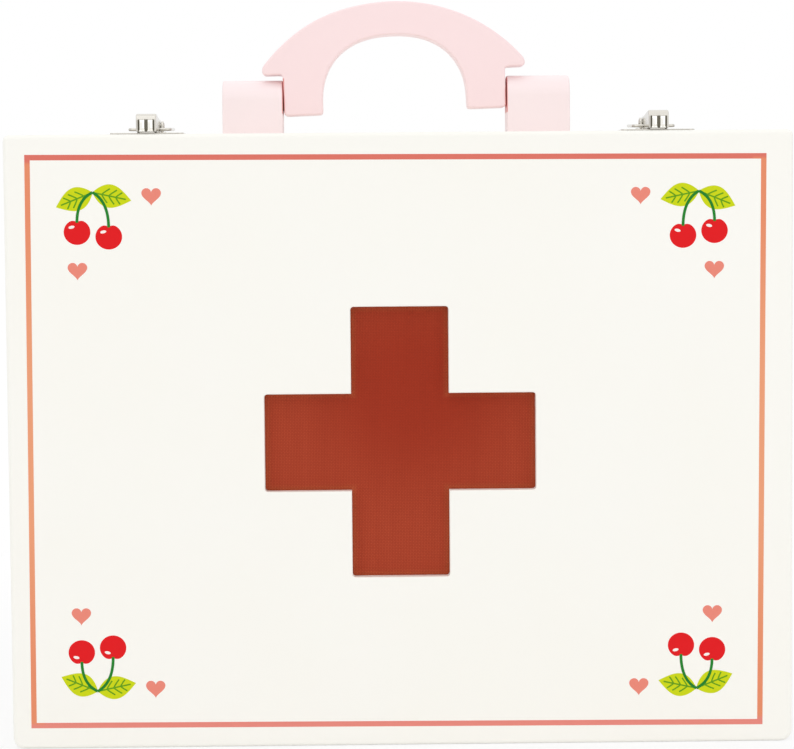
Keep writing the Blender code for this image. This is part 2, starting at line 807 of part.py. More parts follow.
def latch_base(hand, finish):
    """The plate on the lid, slotted under the lever, with two ears that hold the lever's pin."""
    x = latch_places()[hand]
    front, rear = latch_base_ends()
    half = LATCH_PLATE_WIDTH / 2
    outline = rounded_rectangle(x - half, x + half, front, rear, LATCH_PLATE_RADIUS)
    plate = prism(outline, PLATE_BOTTOM_Z, PLATE_TOP_Z, "XY")
    made = piece(f"{hand}_latch_base", plate, finish, smooth=True)
    slot = LEVER_WIDTH / 2 + RUN_GAP
    cut(made, prism(rectangle(x - slot, x + slot, *window_ends()), CASE_HEIGHT - OVERRUN, LATCH_PIVOT_Z, "XY"))
    ear = [(LATCH_PIVOT_Y - LEVER_HEEL_RADIUS, PLATE_BOTTOM_Z), (LATCH_PIVOT_Y + LEVER_HEEL_RADIUS, PLATE_BOTTOM_Z)]
    ear += arc(LATCH_PIVOT_Y, LATCH_PIVOT_Z, LEVER_HEEL_RADIUS, 0, 180, 2 * EASE_STEPS)
    for side in (-1, 1):
        ends = sorted((x + side * slot, x + side * (slot + EAR_THICKNESS)))
        fuse(made, prism(ear, *ends, "YZ"))
    bore = circle(LATCH_PIVOT_Y, LATCH_PIVOT_Z, LEVER_PIN_RADIUS + RUN_GAP, FINE_SIDES)
    cut(made, prism(bore, x - half, x + half, "YZ"))
    cut(made, screw_bores(LATCH_SCREW, LATCH_SCREW_LENGTH, latch_base_screw_places(hand)))
    return made


def lever_top(forward):
    """The lever's height over its pin at a distance forward: a soft S from the heel up to the nose."""
    nose_top = LEVER_NOSE_HEIGHT - LATCH_PIVOT_HEIGHT
    rise = nose_top - LEVER_HEEL_RADIUS
    return LEVER_HEEL_RADIUS + rise * (1 - math.cos(math.pi * forward / LEVER_REACH)) / 2


def lever_top_line(start, end, drop):
    """Points along the lever's top from start to end, both forward of the pin."""
    places = [start + (end - start) * step / LEVER_TOP_STEPS for step in range(LEVER_TOP_STEPS + 1)]
    return [(-place, lever_top(place) - drop, 0) for place in places]


def lever_outline():
    """The lever's cheek seen along X, about its pin, with the nose towards -Y."""
    nose_top = LEVER_NOSE_HEIGHT - LATCH_PIVOT_HEIGHT
    belly = LATCH_PIVOT_HEIGHT - RUN_GAP * 2
    belly_end = LEVER_REACH - LEVER_NOSE_LENGTH
    heel = arc(0, 0, LEVER_HEEL_RADIUS, -60, 90, CORNER_STEPS)
    corners = [(u, v, 0) for u, v in heel]
    corners += lever_top_line(0, LEVER_REACH - LEVER_NOSE_RADIUS * 2, 0)[1:]
    corners += [(-LEVER_REACH, nose_top, LEVER_NOSE_RADIUS), (-LEVER_REACH, -LEVER_HEEL_RADIUS, 0)]
    corners += [(-belly_end, -LEVER_HEEL_RADIUS, 0), (-belly_end + (belly - LEVER_HEEL_RADIUS), -belly, 0)]
    corners += [(-LEVER_HEEL_RADIUS, -belly, 0)]
    return filleted(corners)


def lever_hollow():
    """The inside of the lever, open below and behind."""
    width = LEVER_WIDTH / 2 - LEVER_SHEET
    nose_top = LEVER_NOSE_HEIGHT - LATCH_PIVOT_HEIGHT
    inner_radius = max(LEVER_NOSE_RADIUS - LEVER_SHEET, LEVER_SHEET)
    rear = LEVER_HEEL_RADIUS + OVERRUN
    below = -LATCH_PIVOT_HEIGHT - OVERRUN
    corners = [(rear, below, 0), (rear, LEVER_HEEL_RADIUS - LEVER_SHEET, 0)]
    corners += lever_top_line(0, LEVER_REACH - LEVER_NOSE_RADIUS * 2, LEVER_SHEET)
    corners += [(LEVER_SHEET - LEVER_REACH, nose_top - LEVER_SHEET, inner_radius)]
    corners += [(LEVER_SHEET - LEVER_REACH, below, 0)]
    return prism(filleted(corners), -width, width, "YZ")


def nose_flutes():
    """Two pressed flutes down the front of the nose, domed at both ends."""
    half = LEVER_WIDTH / 4 - FLUTE_EASE
    top = LEVER_NOSE_HEIGHT - LATCH_PIVOT_HEIGHT - LEVER_NOSE_RADIUS
    bottom = -LEVER_HEEL_RADIUS + FLUTE_EASE
    flutes = []
    for side in (-1, 1):
        middle = side * LEVER_WIDTH / 4
        rings = []
        for full_share, end_share in FLUTE_END_SHARES:
            across = half * full_share
            proud = FLUTE_PROUD * full_share
            ring = [(middle + across * u, proud * v - LEVER_REACH) for u, v in circle(0, 0, 1, FINE_SIDES)]
            rings.append((ring, FLUTE_EASE * end_share))
        low = [(ring, bottom + rise) for ring, rise in rings]
        high = [(ring, top - rise) for ring, rise in reversed(rings)]
        flutes.append(loft(low + high, "XY"))
    return joined(flutes)


def lever(name, finish, axis):
    """The bent-up lever: two cheeks and a web that turns down at the nose, with flutes to grip."""
    half = LEVER_WIDTH / 2
    made = piece(name, prism(lever_outline(), -half, half, "YZ"), finish, axis, smooth=True)
    cut(made, lever_hollow(), axis)
    fuse(made, nose_flutes(), axis)
    pin_bore = circle(0, 0, LEVER_PIN_RADIUS + RUN_GAP, FINE_SIDES)
    loop_bore = circle(-LOOP_FORWARD, -LOOP_DROP, WIRE_RADIUS + RUN_GAP, FINE_SIDES)
    reach = half + OVERRUN
    cut(made, joined([prism(bore, -reach, reach, "YZ") for bore in (pin_bore, loop_bore)]), axis)
    return made


def lever_pin(name, x, finish):
    """A rivet through the ears and the lever's cheeks."""
    ear_face = LEVER_WIDTH / 2 + RUN_GAP + EAR_THICKNESS
    head = ear_face + RUN_GAP
    half_profile = [(LEVER_PIN_RADIUS, head), (RIVET_HEAD_RADIUS, head), (RIVET_HEAD_RADIUS, head + RIVET_HEAD_DEPTH)]
    profile = [(radius, -height) for radius, height in reversed(half_profile)] + half_profile
    end = head + RIVET_HEAD_DEPTH
    shape = turned([(0, -end), *profile, (0, end)], FINE_SIDES)
    turn = Matrix.Rotation(math.pi / 2, 4, "Y")
    place = Matrix.Translation((x, LATCH_PIVOT_Y, LATCH_PIVOT_Z))
    return piece(name, moved(shape, place @ turn), finish, smooth=True)


def loop_route():
    """The middle line of the loop's wire about its pivot, from one inturned end round to the other."""
    half = LOOP_WIDTH / 2 - WIRE_RADIUS
    end = LEVER_WIDTH / 2 - LEVER_SHEET - RUN_GAP
    radius = LOOP_CORNER_RADIUS
    right = [(end, 0)]
    right += arc(half - radius, radius, radius, -90, 0, WIRE_CORNER_STEPS)
    right += arc(half - radius, LOOP_REACH - radius, radius, 0, 90, WIRE_CORNER_STEPS)
    slope = LOOP_RISE / LOOP_REACH
    flat = right + [(-x, y) for x, y in reversed(right)]
    return [(x, y, y * slope) for x, y in flat]


def latch_loop(name, finish, axis):
    """One bent wire: its ends turn in through the lever's cheeks, and its far side lies over the hook."""
    route = loop_route()
    curve = bpy.data.curves.new(name, "CURVE")
    curve.dimensions = "3D"
    curve.bevel_depth = WIRE_RADIUS
    curve.bevel_resolution = 2
    curve.use_fill_caps = True
    spline = curve.splines.new("POLY")
    spline.points.add(len(route) - 1)
    for point, (x, y, z) in zip(spline.points, route):
        point.co = (x, y, z, 1)
    curve.materials.append(finish)
    made = bpy.data.objects.new(name, curve)
    made.parent = axis
    bpy.context.scene.collection.objects.link(made)
    return made


def catch_ends():
    front = SPLIT_Y + CATCH_SETBACK
    return front, front + CATCH_LENGTH


def catch_screw_places(hand):
    front, rear = catch_ends()
    return plate_screw_places("catch", hand, ((front + rear) / 2,))


def catch_plate(hand, finish):
    """The plate on the base, with the rounded hook that the loop's far side lies over."""
    x = latch_places()[hand]
    front, rear = catch_ends()
    half = LATCH_PLATE_WIDTH / 2
    outline = rounded_rectangle(x - half, x + half, front, rear, LATCH_PLATE_RADIUS)
    plate = prism(outline, PLATE_BOTTOM_Z, PLATE_TOP_Z, "XY")
    made = piece(f"{hand}_catch_plate", plate, finish, smooth=True)
    hook_top = CROSSBAR_Z - WIRE_RADIUS - RUN_GAP
    hook_front = CROSSBAR_Y - HOOK_LEAD_SHARE * HOOK_LENGTH
    rounding = hook_top - PLATE_TOP_Z
    middle = (PLATE_BOTTOM_Z + PLATE_TOP_Z) / 2
    hook = filleted(
        [
            (hook_front, middle, 0),
            (hook_front + HOOK_LENGTH, middle, 0),
            (hook_front + HOOK_LENGTH, hook_top, rounding),
            (hook_front, hook_top, rounding),
        ]
    )
    fuse(made, prism(hook, x - HOOK_WIDTH / 2, x + HOOK_WIDTH / 2, "YZ"))
    cut(made, screw_bores(LATCH_SCREW, LATCH_SCREW_LENGTH, catch_screw_places(hand)))
    return made


def latches(finish, screw_finish, lid_rail, base_rail):
    """Both toggle latches, with their screws and the bores for them."""
    for hand, x in latch_places().items():
        lever_axis = pivot(f"{hand}_lever_axis", (x, LATCH_PIVOT_Y, LATCH_PIVOT_Z))
        loop_axis = pivot(f"{hand}_loop_axis", (x, LOOP_PIVOT_Y, LOOP_PIVOT_Z))
        latch_base(hand, finish)
        lever(f"{hand}_latch_lever", finish, lever_axis)
        lever_pin(f"{hand}_lever_pin", x, finish)
        latch_loop(f"{hand}_latch_loop", finish, loop_axis)
        catch_plate(hand, finish)
    for places_at, rail in ((latch_base_screw_places, lid_rail), (catch_screw_places, base_rail)):
        places = places_at("left") | places_at("right")
        screws(LATCH_SCREW, LATCH_SCREW_LENGTH, places, screw_finish)
        cut(rail, screw_bores(LATCH_SCREW, LATCH_SCREW_LENGTH, places))


def clear_scene():
    for old in list(bpy.data.objects):
        bpy.data.objects.remove(old, do_unlink=True)


def main():
    clear_scene()
    white = white_lacquer()
    nickel = nickel_plate()
    zinc = zinc_plate()
    base_bottom, base_top = long_rails("base", white)
    lid_bottom, lid_top = long_rails("lid", white)
    side_rails("base", white)
    side_rails("lid", white)
    back_panel(white)
    front_panel(white)
    cross_cloth(red_cloth())
    hinges(nickel, zinc, base_bottom, lid_bottom)
    handle(pink_lacquer(), pale_pink_lacquer(), beech(), zinc, base_top)
    latches(nickel, zinc, lid_top, base_top)


main()
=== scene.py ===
"""The looks of a toy doctor's case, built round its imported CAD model.

Metres, +Z up. X runs to the right across the front board, which faces -Y. The case stands on Z = 0.
Each sub-assembly is a class that holds its sizes, builds its meshes from numpy arrays, and dresses them in
a finish.
"""

import json
import logging
import math
from collections.abc import Callable, Iterable, Mapping, Sequence
from dataclasses import dataclass, field
from enum import Enum

import bmesh
import bpy
import numpy as np
from mathutils import Matrix, Vector


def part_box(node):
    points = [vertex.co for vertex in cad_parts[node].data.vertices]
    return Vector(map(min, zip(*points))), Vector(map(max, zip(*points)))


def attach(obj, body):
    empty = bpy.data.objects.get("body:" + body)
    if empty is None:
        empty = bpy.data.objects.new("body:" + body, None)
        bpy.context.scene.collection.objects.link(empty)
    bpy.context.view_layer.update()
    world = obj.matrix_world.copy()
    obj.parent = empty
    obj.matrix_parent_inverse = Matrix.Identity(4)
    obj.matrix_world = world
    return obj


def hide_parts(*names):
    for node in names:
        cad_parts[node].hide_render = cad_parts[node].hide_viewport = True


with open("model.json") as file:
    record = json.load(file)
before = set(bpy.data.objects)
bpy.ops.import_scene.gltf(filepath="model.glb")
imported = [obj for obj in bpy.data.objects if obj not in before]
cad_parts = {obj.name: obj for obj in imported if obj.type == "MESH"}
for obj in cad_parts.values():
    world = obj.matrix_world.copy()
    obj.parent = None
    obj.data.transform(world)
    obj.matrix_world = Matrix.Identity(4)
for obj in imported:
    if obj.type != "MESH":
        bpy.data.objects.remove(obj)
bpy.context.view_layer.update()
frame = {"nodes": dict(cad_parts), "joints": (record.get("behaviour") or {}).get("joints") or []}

Array = np.ndarray
Pair = tuple[float, float]
Triple = tuple[float, float, float]
Tree = bpy.types.NodeTree
Node = bpy.types.Node
Socket = bpy.types.NodeSocket
Inputs = Mapping[str | int, object]
Pattern = tuple[list[tuple[Node, str]], Node]

MM = 0.001
WELD = 0.001 * MM
TINY = 1e-9

# Edges that turn by more than the first stay sharp in the shading. On the CAD's own nodes, those that turn by
# more than the second are eased.
CREASE_DEG = 32
EASED_DEG = 40

# The front board's face lies this far behind the CAD's, so that the ink on it stays inside the CAD's box
INK_ROOM = 0.06 * MM
FRONT_FACE_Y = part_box("front_panel")[0].y + INK_ROOM

# The cross window in the front board, whose middle lies a little off the board's
WINDOW_SPAN = 86.4 * MM
WINDOW_ARM = 31.1 * MM
WINDOW_OFF = Vector((-0.24 * MM, 0, -0.3 * MM))
WINDOW_MIDDLE = (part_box("front_panel")[0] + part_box("front_panel")[1]) / 2 + WINDOW_OFF

# The middle of the border line's lowest left and its highest right corner on the board (X, Z)
BORDER_LOW = (-117.75 * MM, 7.06 * MM)
BORDER_HIGH = (115.05 * MM, 188.25 * MM)

log = logging.getLogger("doctor_case")


class Slot(Enum):
    """The record's material slots."""

    WHITE = "white_lacquer"
    PINK = "pink_lacquer"
    PALE_PINK = "pale_pink_lacquer"
    CLOTH = "red_cloth"
    BEECH = "beech"
    NICKEL = "nickel"
    ZINC = "zinc"


class Hand(Enum):
    """The two sides of the case, as in the nodes' names."""

    LEFT = "left"
    RIGHT = "right"


class Plane(Enum):
    """The plane of an outline (u, v), and the axis w that it is drawn out along."""

    XZ = (0, 2, 1)
    YZ = (1, 2, 0)
    XY = (0, 1, 2)

    def place(self, u: Array, v: Array, w: Array | float) -> Array:
        """Turn plane coordinates into points.

        Args:
            u: First coordinate in the plane.
            v: Second coordinate in the plane.
            w: Coordinate along the axis.

        Returns:
            Points, with x, y, z along the last axis.
        """
        axes = np.broadcast_arrays(u, v, w)
        points = np.empty((*axes[0].shape, 3))
        for axis, values in zip(self.value, axes):
            points[..., axis] = values
        return points


# Outlines, as arrays of (u, v) points


def arc(centre: Pair, radius: float, start_deg: float, end_deg: float, steps: int) -> Array:
    """Points on a circle: the centre plus the radius times (cosine, sine) of each turn, ends included."""
    turns = np.radians(np.linspace(start_deg, end_deg, steps + 1))
    return np.stack([centre[0] + radius * np.cos(turns), centre[1] + radius * np.sin(turns)], axis=-1)


def full_turn(steps: int) -> Array:
    """Even turns all the way round, in radians."""
    return np.linspace(0, 2 * np.pi, steps, endpoint=False)


def quarter(radius: float, steps: int) -> tuple[Array, Array]:
    """A quarter circle that rounds an edge: the radius times 1 - sine and 1 - cosine of the turn.

    Args:
        radius: The edge's radius.
        steps: How many points it has.

    Returns:
        How far the points lie from one side of the edge, down to zero, and from the other, up from zero.
    """
    turn = np.linspace(0, np.pi / 2, steps)
    return radius * (1 - np.sin(turn)), radius * (1 - np.cos(turn))


def rounded_rectangle(low: Pair, high: Pair, radius: float, steps: int = 10) -> Array:
    """A rectangle whose corners are quarter circles.

    Args:
        low: Its lowest corner.
        high: Its highest corner.
        radius: The corners' radius.
        steps: Stretches in each corner.

    Returns:
        Points, anticlockwise.
    """
    left, right, bottom, top = low[0] + radius, high[0] - radius, low[1] + radius, high[1] - radius
    corners = enumerate(((right, top), (left, top), (left, bottom), (right, bottom)))
    return np.concatenate([arc(centre, radius, 90 * turn, 90 * turn + 90, steps) for turn, centre in corners])


def softened(outline: Array, spacing: float, reach: float) -> Array:
    """Round every corner of a closed outline.

    Evenly spaced points along it are blurred by a bell curve: each of their Fourier terms, of frequency f, is
    multiplied by exp(-(2 pi f reach)^2 / 2).

    Args:
        outline: The closed outline.
        spacing: The distance between the new points.
        reach: The bell curve's spread, about two thirds of the radius that a square corner gets.

    Returns:
        The rounded outline.
    """
    closed = np.concatenate([outline, outline[:1]])
    run = np.concatenate([[0.0], np.cumsum(np.linalg.norm(np.diff(closed, axis=0), axis=1))])
    stops = np.linspace(0, run[-1], int(run[-1] / spacing), endpoint=False)
    points = np.stack([np.interp(stops, run, closed[:, axis]) for axis in (0, 1)], axis=-1)
    step = np.linalg.norm(points[1] - points[0])
    frequency = np.fft.fftfreq(len(points), d=step)[:, None]
    keep = np.exp(-((2 * np.pi * frequency * reach) ** 2) / 2)
    return np.fft.ifft(np.fft.fft(points, axis=0) * keep, axis=0).real


def inset(outline: Array, distance: Array) -> Array:
    """Move an outline inwards, each point along the middle of its two sides' normals.

    Args:
        outline: The closed outline.
        distance: The m distances, of shape (m, 1, 1).

    Returns:
        The m moved outlines.
    """
    along = np.roll(outline, -1, axis=0) - outline
    along /= np.linalg.norm(along, axis=1, keepdims=True)
    area = np.sum(outline[:, 0] * np.roll(outline[:, 1], -1) - np.roll(outline[:, 0], -1) * outline[:, 1])
    after = np.stack([-along[:, 1], along[:, 0]], axis=-1) * np.sign(area)
    before = np.roll(after, 1, axis=0)
    shift = (before + after) / (1 + np.sum(before * after, axis=1, keepdims=True))
    return outline + shift * distance


def rectangle_reach(turns: Array, half: Pair, radius: Array | float) -> Array:
    """How far a rounded rectangle reaches from its middle at each turn.

    A ray leaves the plain rectangle at the nearer of the two sides that it meets. Where that point lies in a
    rounded corner, the ray ends on the corner's circle instead.

    Args:
        turns: The rays' turns in radians.
        half: Half the width and half the height.
        radius: The corners' radius, or one for each turn.

    Returns:
        The distances.
    """
    across, up = np.abs(np.cos(turns)), np.abs(np.sin(turns))
    plain = np.minimum(half[0] / np.maximum(across, TINY), half[1] / np.maximum(up, TINY))
    centre = (half[0] - radius, half[1] - radius)
    along = centre[0] * across + centre[1] * up
    beside = centre[0] ** 2 + centre[1] ** 2 - along**2
    rounded = along + np.sqrt(np.maximum(radius**2 - beside, 0))
    in_corner = (plain * across > centre[0]) & (plain * up > centre[1])
    return np.where(in_corner, rounded, plain)


def plus_reach(turns: Array, half_span: float, half_arm: float, radius: float) -> Array:
    """How far a plus sign reaches from its middle at each turn: the farther of its two bars."""
    bars = ((half_span, half_arm), (half_arm, half_span))
    return np.maximum(*(rectangle_reach(turns, half, radius) for half in bars))


def turns_through(corners: Iterable[Pair], steps: int, near: float, close_steps: int = 13) -> Array:
    """Turns round a middle that pass through every corner of the shapes there, and close by on both sides.

    Args:
        corners: One corner (u, v) of each kind, with both coordinates positive. It is mirrored four ways.
        steps: How many even turns there are besides.
        near: How far, as an angle in radians, the close turns spread from each corner.
        close_steps: How many close turns each corner has.

    Returns:
        The turns in radians, in order.
    """
    first = np.array([math.atan2(v, u) for u, v in corners])
    exact = np.concatenate([first, np.pi - first, np.pi + first, 2 * np.pi - first])
    close = (exact[:, None] + np.linspace(-near, near, close_steps)).ravel()
    return np.unique(np.round(np.mod(np.concatenate([full_turn(steps), close]), 2 * np.pi), decimals=9))


# Surfaces


@dataclass
class Surface:
    """Closed surfaces: corner points, and the faces between them."""

    points: Array
    faces: list[tuple[int, ...]]


def skin(rings: Array, round_again: bool = False) -> Surface:
    """Join rings of points into a closed surface.

    Point j of ring i is joined to its neighbours j + 1 and i + 1, and each ring closes on itself. The ends
    are capped by one face each, unless the last ring joins the first again.

    Args:
        rings: Points of shape (rings, points in a ring, 3).
        round_again: Whether the last ring joins the first.

    Returns:
        The surface.
    """
    index = np.arange(rings[..., 0].size).reshape(rings.shape[:2])
    above = np.roll(index, -1, axis=0)
    corners = (index, np.roll(index, -1, axis=1), np.roll(above, -1, axis=1), above)
    faces = np.stack(corners, axis=-1)[: None if round_again else -1].reshape(-1, 4).tolist()
    if not round_again:
        ends = ((rings[0], index[0][::-1]), (rings[-1], index[-1]))
        faces += [ring.tolist() for points, ring in ends if np.ptp(points, axis=0).max() > WELD]
    return Surface(rings.reshape(-1, 3), faces)


def together(surfaces: Sequence[Surface]) -> Surface:
    """Put several surfaces into one.

    Args:
        surfaces: The surfaces.

    Returns:
        One surface that holds them all.
    """
    starts = np.cumsum([0] + [len(part.points) for part in surfaces[:-1]])
    faces = [tuple(c + start for c in face) for part, start in zip(surfaces, starts) for face in part.faces]
    return Surface(np.concatenate([part.points for part in surfaces]), faces)


def placed(surface: Surface, matrix: Matrix) -> Surface:
    """Move a surface by a matrix: its points times the turn, plus the shift."""
    whole = np.array(matrix)
    return Surface(surface.points @ whole[:3, :3].T + whole[:3, 3], surface.faces)


def drawn_out(outline: Array, levels: Sequence[float] | Array, plane: Plane) -> Surface:
    """A closed block through flat rings: one outline at every level, or an outline for each."""
    return skin(plane.place(outline[..., 0], outline[..., 1], np.array(levels)[:, None]))


def rod(radius: float, ends: Pair, centre: Pair = (0, 0), sides: int = 32) -> Surface:
    """A round rod along X, for a bore."""
    return drawn_out(arc(centre, radius, 0, 360, sides)[:-1], ends, Plane.YZ)


def rounded_slab(outline: Array, ends: Pair, radius: float, plane: Plane, steps: int = 4) -> Surface:
    """A slab with rounded edges: the outline, drawn in at both faces along a quarter circle.

    Args:
        outline: The slab's outline in its plane.
        ends: Where its low and its high face lie.
        radius: The edges' radius.
        plane: The outline's plane.
        steps: Stretches in each rounded edge.

    Returns:
        The closed slab.
    """
    draw_in, height = quarter(radius, steps + 1)
    rings = inset(outline, np.concatenate([draw_in, draw_in[::-1]])[:, None, None])
    return drawn_out(rings, np.concatenate([ends[0] + height, ends[1] - height[::-1]]), plane)


def turned(profile: Sequence[Pair], sides: int) -> Surface:
    """Turn a profile of (radius, height) about Z.

    Args:
        profile: The half outline, from the axis back to the axis.
        sides: How many stretches go round.

    Returns:
        The closed surface, along +Z.
    """
    radius, height = np.array(profile, float).T[..., None]
    turns = full_turn(sides)
    return skin(Plane.XY.place(radius * np.cos(turns), radius * np.sin(turns), height))


def tube(path: Array, radius: float, up: Triple, sides: int = 16, dome: int = 4) -> Surface:
    """A round wire along a path that lies about flat, with domed ends.

    Each ring is the path's point plus the radius times (cosine of the turn along up x tangent, sine along
    up). At the two ends the rings shrink along a quarter circle.

    Args:
        path: The middle line's points.
        radius: The wire's radius.
        up: The direction square to the path's plane.
        sides: How many stretches go round.
        dome: How many rings each domed end has.

    Returns:
        The closed wire.
    """
    rise = np.linspace(np.pi / 2, 0, dome + 1)[:-1]
    tangent = np.gradient(path, axis=0)
    tangent /= np.linalg.norm(tangent, axis=1, keepdims=True)
    start = path[0] - tangent[0] * (np.sin(rise) * radius)[:, None]
    end = path[-1] + tangent[-1] * (np.sin(rise[::-1]) * radius)[:, None]
    line = np.concatenate([start, path, end])
    direction = np.concatenate([np.repeat(tangent[:1], dome, 0), tangent, np.repeat(tangent[-1:], dome, 0)])
    size = np.concatenate([np.cos(rise), np.ones(len(path)), np.cos(rise[::-1])]) * radius
    turns = full_turn(sides)[None, :, None]
    beside = np.cross(np.asarray(up, float), direction)
    beside /= np.linalg.norm(beside, axis=1, keepdims=True)
    over = np.cross(direction, beside)
    spokes = np.cos(turns) * beside[:, None] + np.sin(turns) * over[:, None]
    return skin(line[:, None] + spokes * size[:, None, None])


# Colour and nodes


def linear(hex_colour: str) -> tuple[float, float, float, float]:
    """Turn an sRGB hex colour, a hash and six digits, into the linear values that a shader takes."""
    channels = [int(hex_colour[start : start + 2], 16) / 255 for start in (1, 3, 5)]
    return *(c / 12.92 if c <= 0.04045 else ((c + 0.055) / 1.055) ** 2.4 for c in channels), 1.0


def add_node(tree: Tree, kind: str, inputs: Inputs | None = None, **settings: object) -> Node:
    """Add a node, set it, and link or fill its inputs.

    Args:
        tree: The node tree.
        kind: The node's type.
        inputs: For each input, by name or number: a value, a hex colour, a socket to link to it, or a node,
            whose first output in use is linked.
        **settings: Attributes to set on the node.

    Returns:
        The new node.
    """
    node = tree.nodes.new(kind)
    for name, value in settings.items():
        setattr(node, name, value)
    for name, value in (inputs or {}).items():
        if isinstance(value, Node):
            value = next(socket for socket in value.outputs if socket.enabled)
        if isinstance(value, Socket):
            tree.links.new(value, node.inputs[name])
        else:
            hexed = isinstance(value, str) and value.startswith("#")
            node.inputs[name].default_value = linear(value) if hexed else value
    return node


def masked(
    tree: Tree, value: Socket, middle: float, reach: float, blur: float, inside: Node | float = 1.0
) -> Node:
    """A mask on a coordinate: full near the middle, and zero farther off.

    Args:
        tree: The node tree.
        value: The coordinate.
        middle: Where the mask's middle lies.
        reach: How far the mask reaches to both sides.
        blur: How far its edge fades to both sides.
        inside: What the mask is near its middle: a share, or another mask that it cuts.

    Returns:
        The mask's last node.
    """
    off = add_node(tree, "ShaderNodeMath", {0: value, 1: middle}, operation="SUBTRACT")
    size = add_node(tree, "ShaderNodeMath", {0: off}, operation="ABSOLUTE")
    span = {"From Min": reach - blur, "From Max": reach + blur, "To Min": inside, "To Max": 0.0}
    return add_node(tree, "ShaderNodeMapRange", {"Value": size, **span}, interpolation_type="SMOOTHSTEP")


def new_material(name: str, dress: Callable[[Tree], Node]) -> bpy.types.Material:
    """Make a material.

    Args:
        name: The material's name.
        dress: Adds the nodes to the tree and returns the last shader.

    Returns:
        The material.
    """
    made = bpy.data.materials.new(name)
    made.use_nodes = True
    made.node_tree.nodes.clear()
    add_node(made.node_tree, "ShaderNodeOutputMaterial", {"Surface": dress(made.node_tree)})
    return made


# Finishes


@dataclass(frozen=True)
class Finish:
    """A material of a colour with others laid over it, and a fine noise that can show in all of it."""

    name: str
    colour: str
    second: str
    roughness: float
    slot: Slot = Slot.WHITE
    uneven: float = 0.0
    grain: float = 0.5 * MM
    drawn: Triple = (1.0, 1.0, 1.0)
    detail: float = 3.0
    depth: float = 0.0
    metallic: float = 0.0
    specular: float = 0.5
    ior: float = 1.5

    def pattern(self, tree: Tree, place: Socket, noise: Node) -> Pattern:
        """The shares in which other colours cover the first in turn, and the height of the bump."""
        return [(noise, self.second)], noise

    def dress(self, tree: Tree) -> Node:
        """Add the noise, drawn out by its scales, the colours and the shader.

        Args:
            tree: The material's node tree.

        Returns:
            The shader.
        """
        place = add_node(tree, "ShaderNodeTexCoord").outputs["Object"]
        drawn = add_node(tree, "ShaderNodeMapping", {"Vector": place, "Scale": self.drawn})
        inputs = {"Vector": drawn, "Scale": 1 / self.grain, "Detail": self.detail}
        layers, height = self.pattern(tree, place, add_node(tree, "ShaderNodeTexNoise", inputs))
        colour = self.colour
        for share, over in layers:
            inputs = {"Factor": share, "A": colour, "B": over}
            colour = add_node(tree, "ShaderNodeMix", inputs, data_type="RGBA")
        ends = {"To Min": self.roughness - self.uneven, "To Max": self.roughness + self.uneven}
        inputs = {
            "Base Color": colour,
            "Metallic": self.metallic,
            "Roughness": add_node(tree, "ShaderNodeMapRange", {"Value": height, **ends}),
            "IOR": self.ior,
            "Specular IOR Level": self.specular,
            "Normal": add_node(tree, "ShaderNodeBump", {"Height": height, "Distance": self.depth}),
        }
        return add_node(tree, "ShaderNodeBsdfPrincipled", inputs)


@dataclass(frozen=True)
class Lacquer(Finish):
    """Sprayed lacquer on fibreboard or beech: even and silky, with slow clouds and a faint orange peel."""

    roughness: float = 0.40
    uneven: float = 0.05
    grain: float = 1.1 * MM
    detail: float = 2.0
    depth: float = 0.006 * MM
    ior: float = 1.48
    cloud: float = 55 * MM
    cloud_detail: float = 3.0

    def pattern(self, tree: Tree, place: Socket, noise: Node) -> Pattern:
        """Clouds of the second colour, and the peel in the bump."""
        inputs = {"Vector": place, "Scale": 1 / self.cloud, "Detail": self.cloud_detail}
        return [(add_node(tree, "ShaderNodeTexNoise", inputs), self.second)], noise


@dataclass(frozen=True, kw_only=True)
class JointedLacquer(Lacquer):
    """Lacquer on the handle, with painted shade, a deeper pink, in the narrow gaps between the grip and the
    posts.
    """

    gaps: Pair
    rise: Pair
    # Painted shade: the deeper pink in the gaps, and how far it reaches
    gap_shade: str = "#e8938e"
    shade_band: float = 0.38 * MM
    blur: float = 0.18 * MM
    fade: float = 0.4 * MM

    def pattern(self, tree: Tree, place: Socket, noise: Node) -> Pattern:
        """The lacquer's own, then the painted shade near each gap, over the gaps' rise.

        Args:
            tree: The material's node tree.
            place: The object's own coordinates.
            noise: The peel.

        Returns:
            The layers of colour, and the peel's height.
        """
        layers, height = super().pattern(tree, place, noise)
        x, _, z = add_node(tree, "ShaderNodeSeparateXYZ", {0: place}).outputs
        low, high = self.rise
        level = masked(tree, z, (low + high) / 2, (high - low) / 2, self.fade)
        gap_shades = [masked(tree, x, gap, self.shade_band, self.blur, level) for gap in self.gaps]
        return layers + [(shade_band, self.gap_shade) for shade_band in gap_shades], height


@dataclass(frozen=True)
class Plating(Finish):
    """Plated pressed steel: mirror-like where it is nickel, dull where it is zinc, with fine rub marks."""

    slot: Slot = Slot.NICKEL
    grain: float = 0.25 * MM
    detail: float = 4.0
    depth: float = 0.0015 * MM
    metallic: float = 1.0


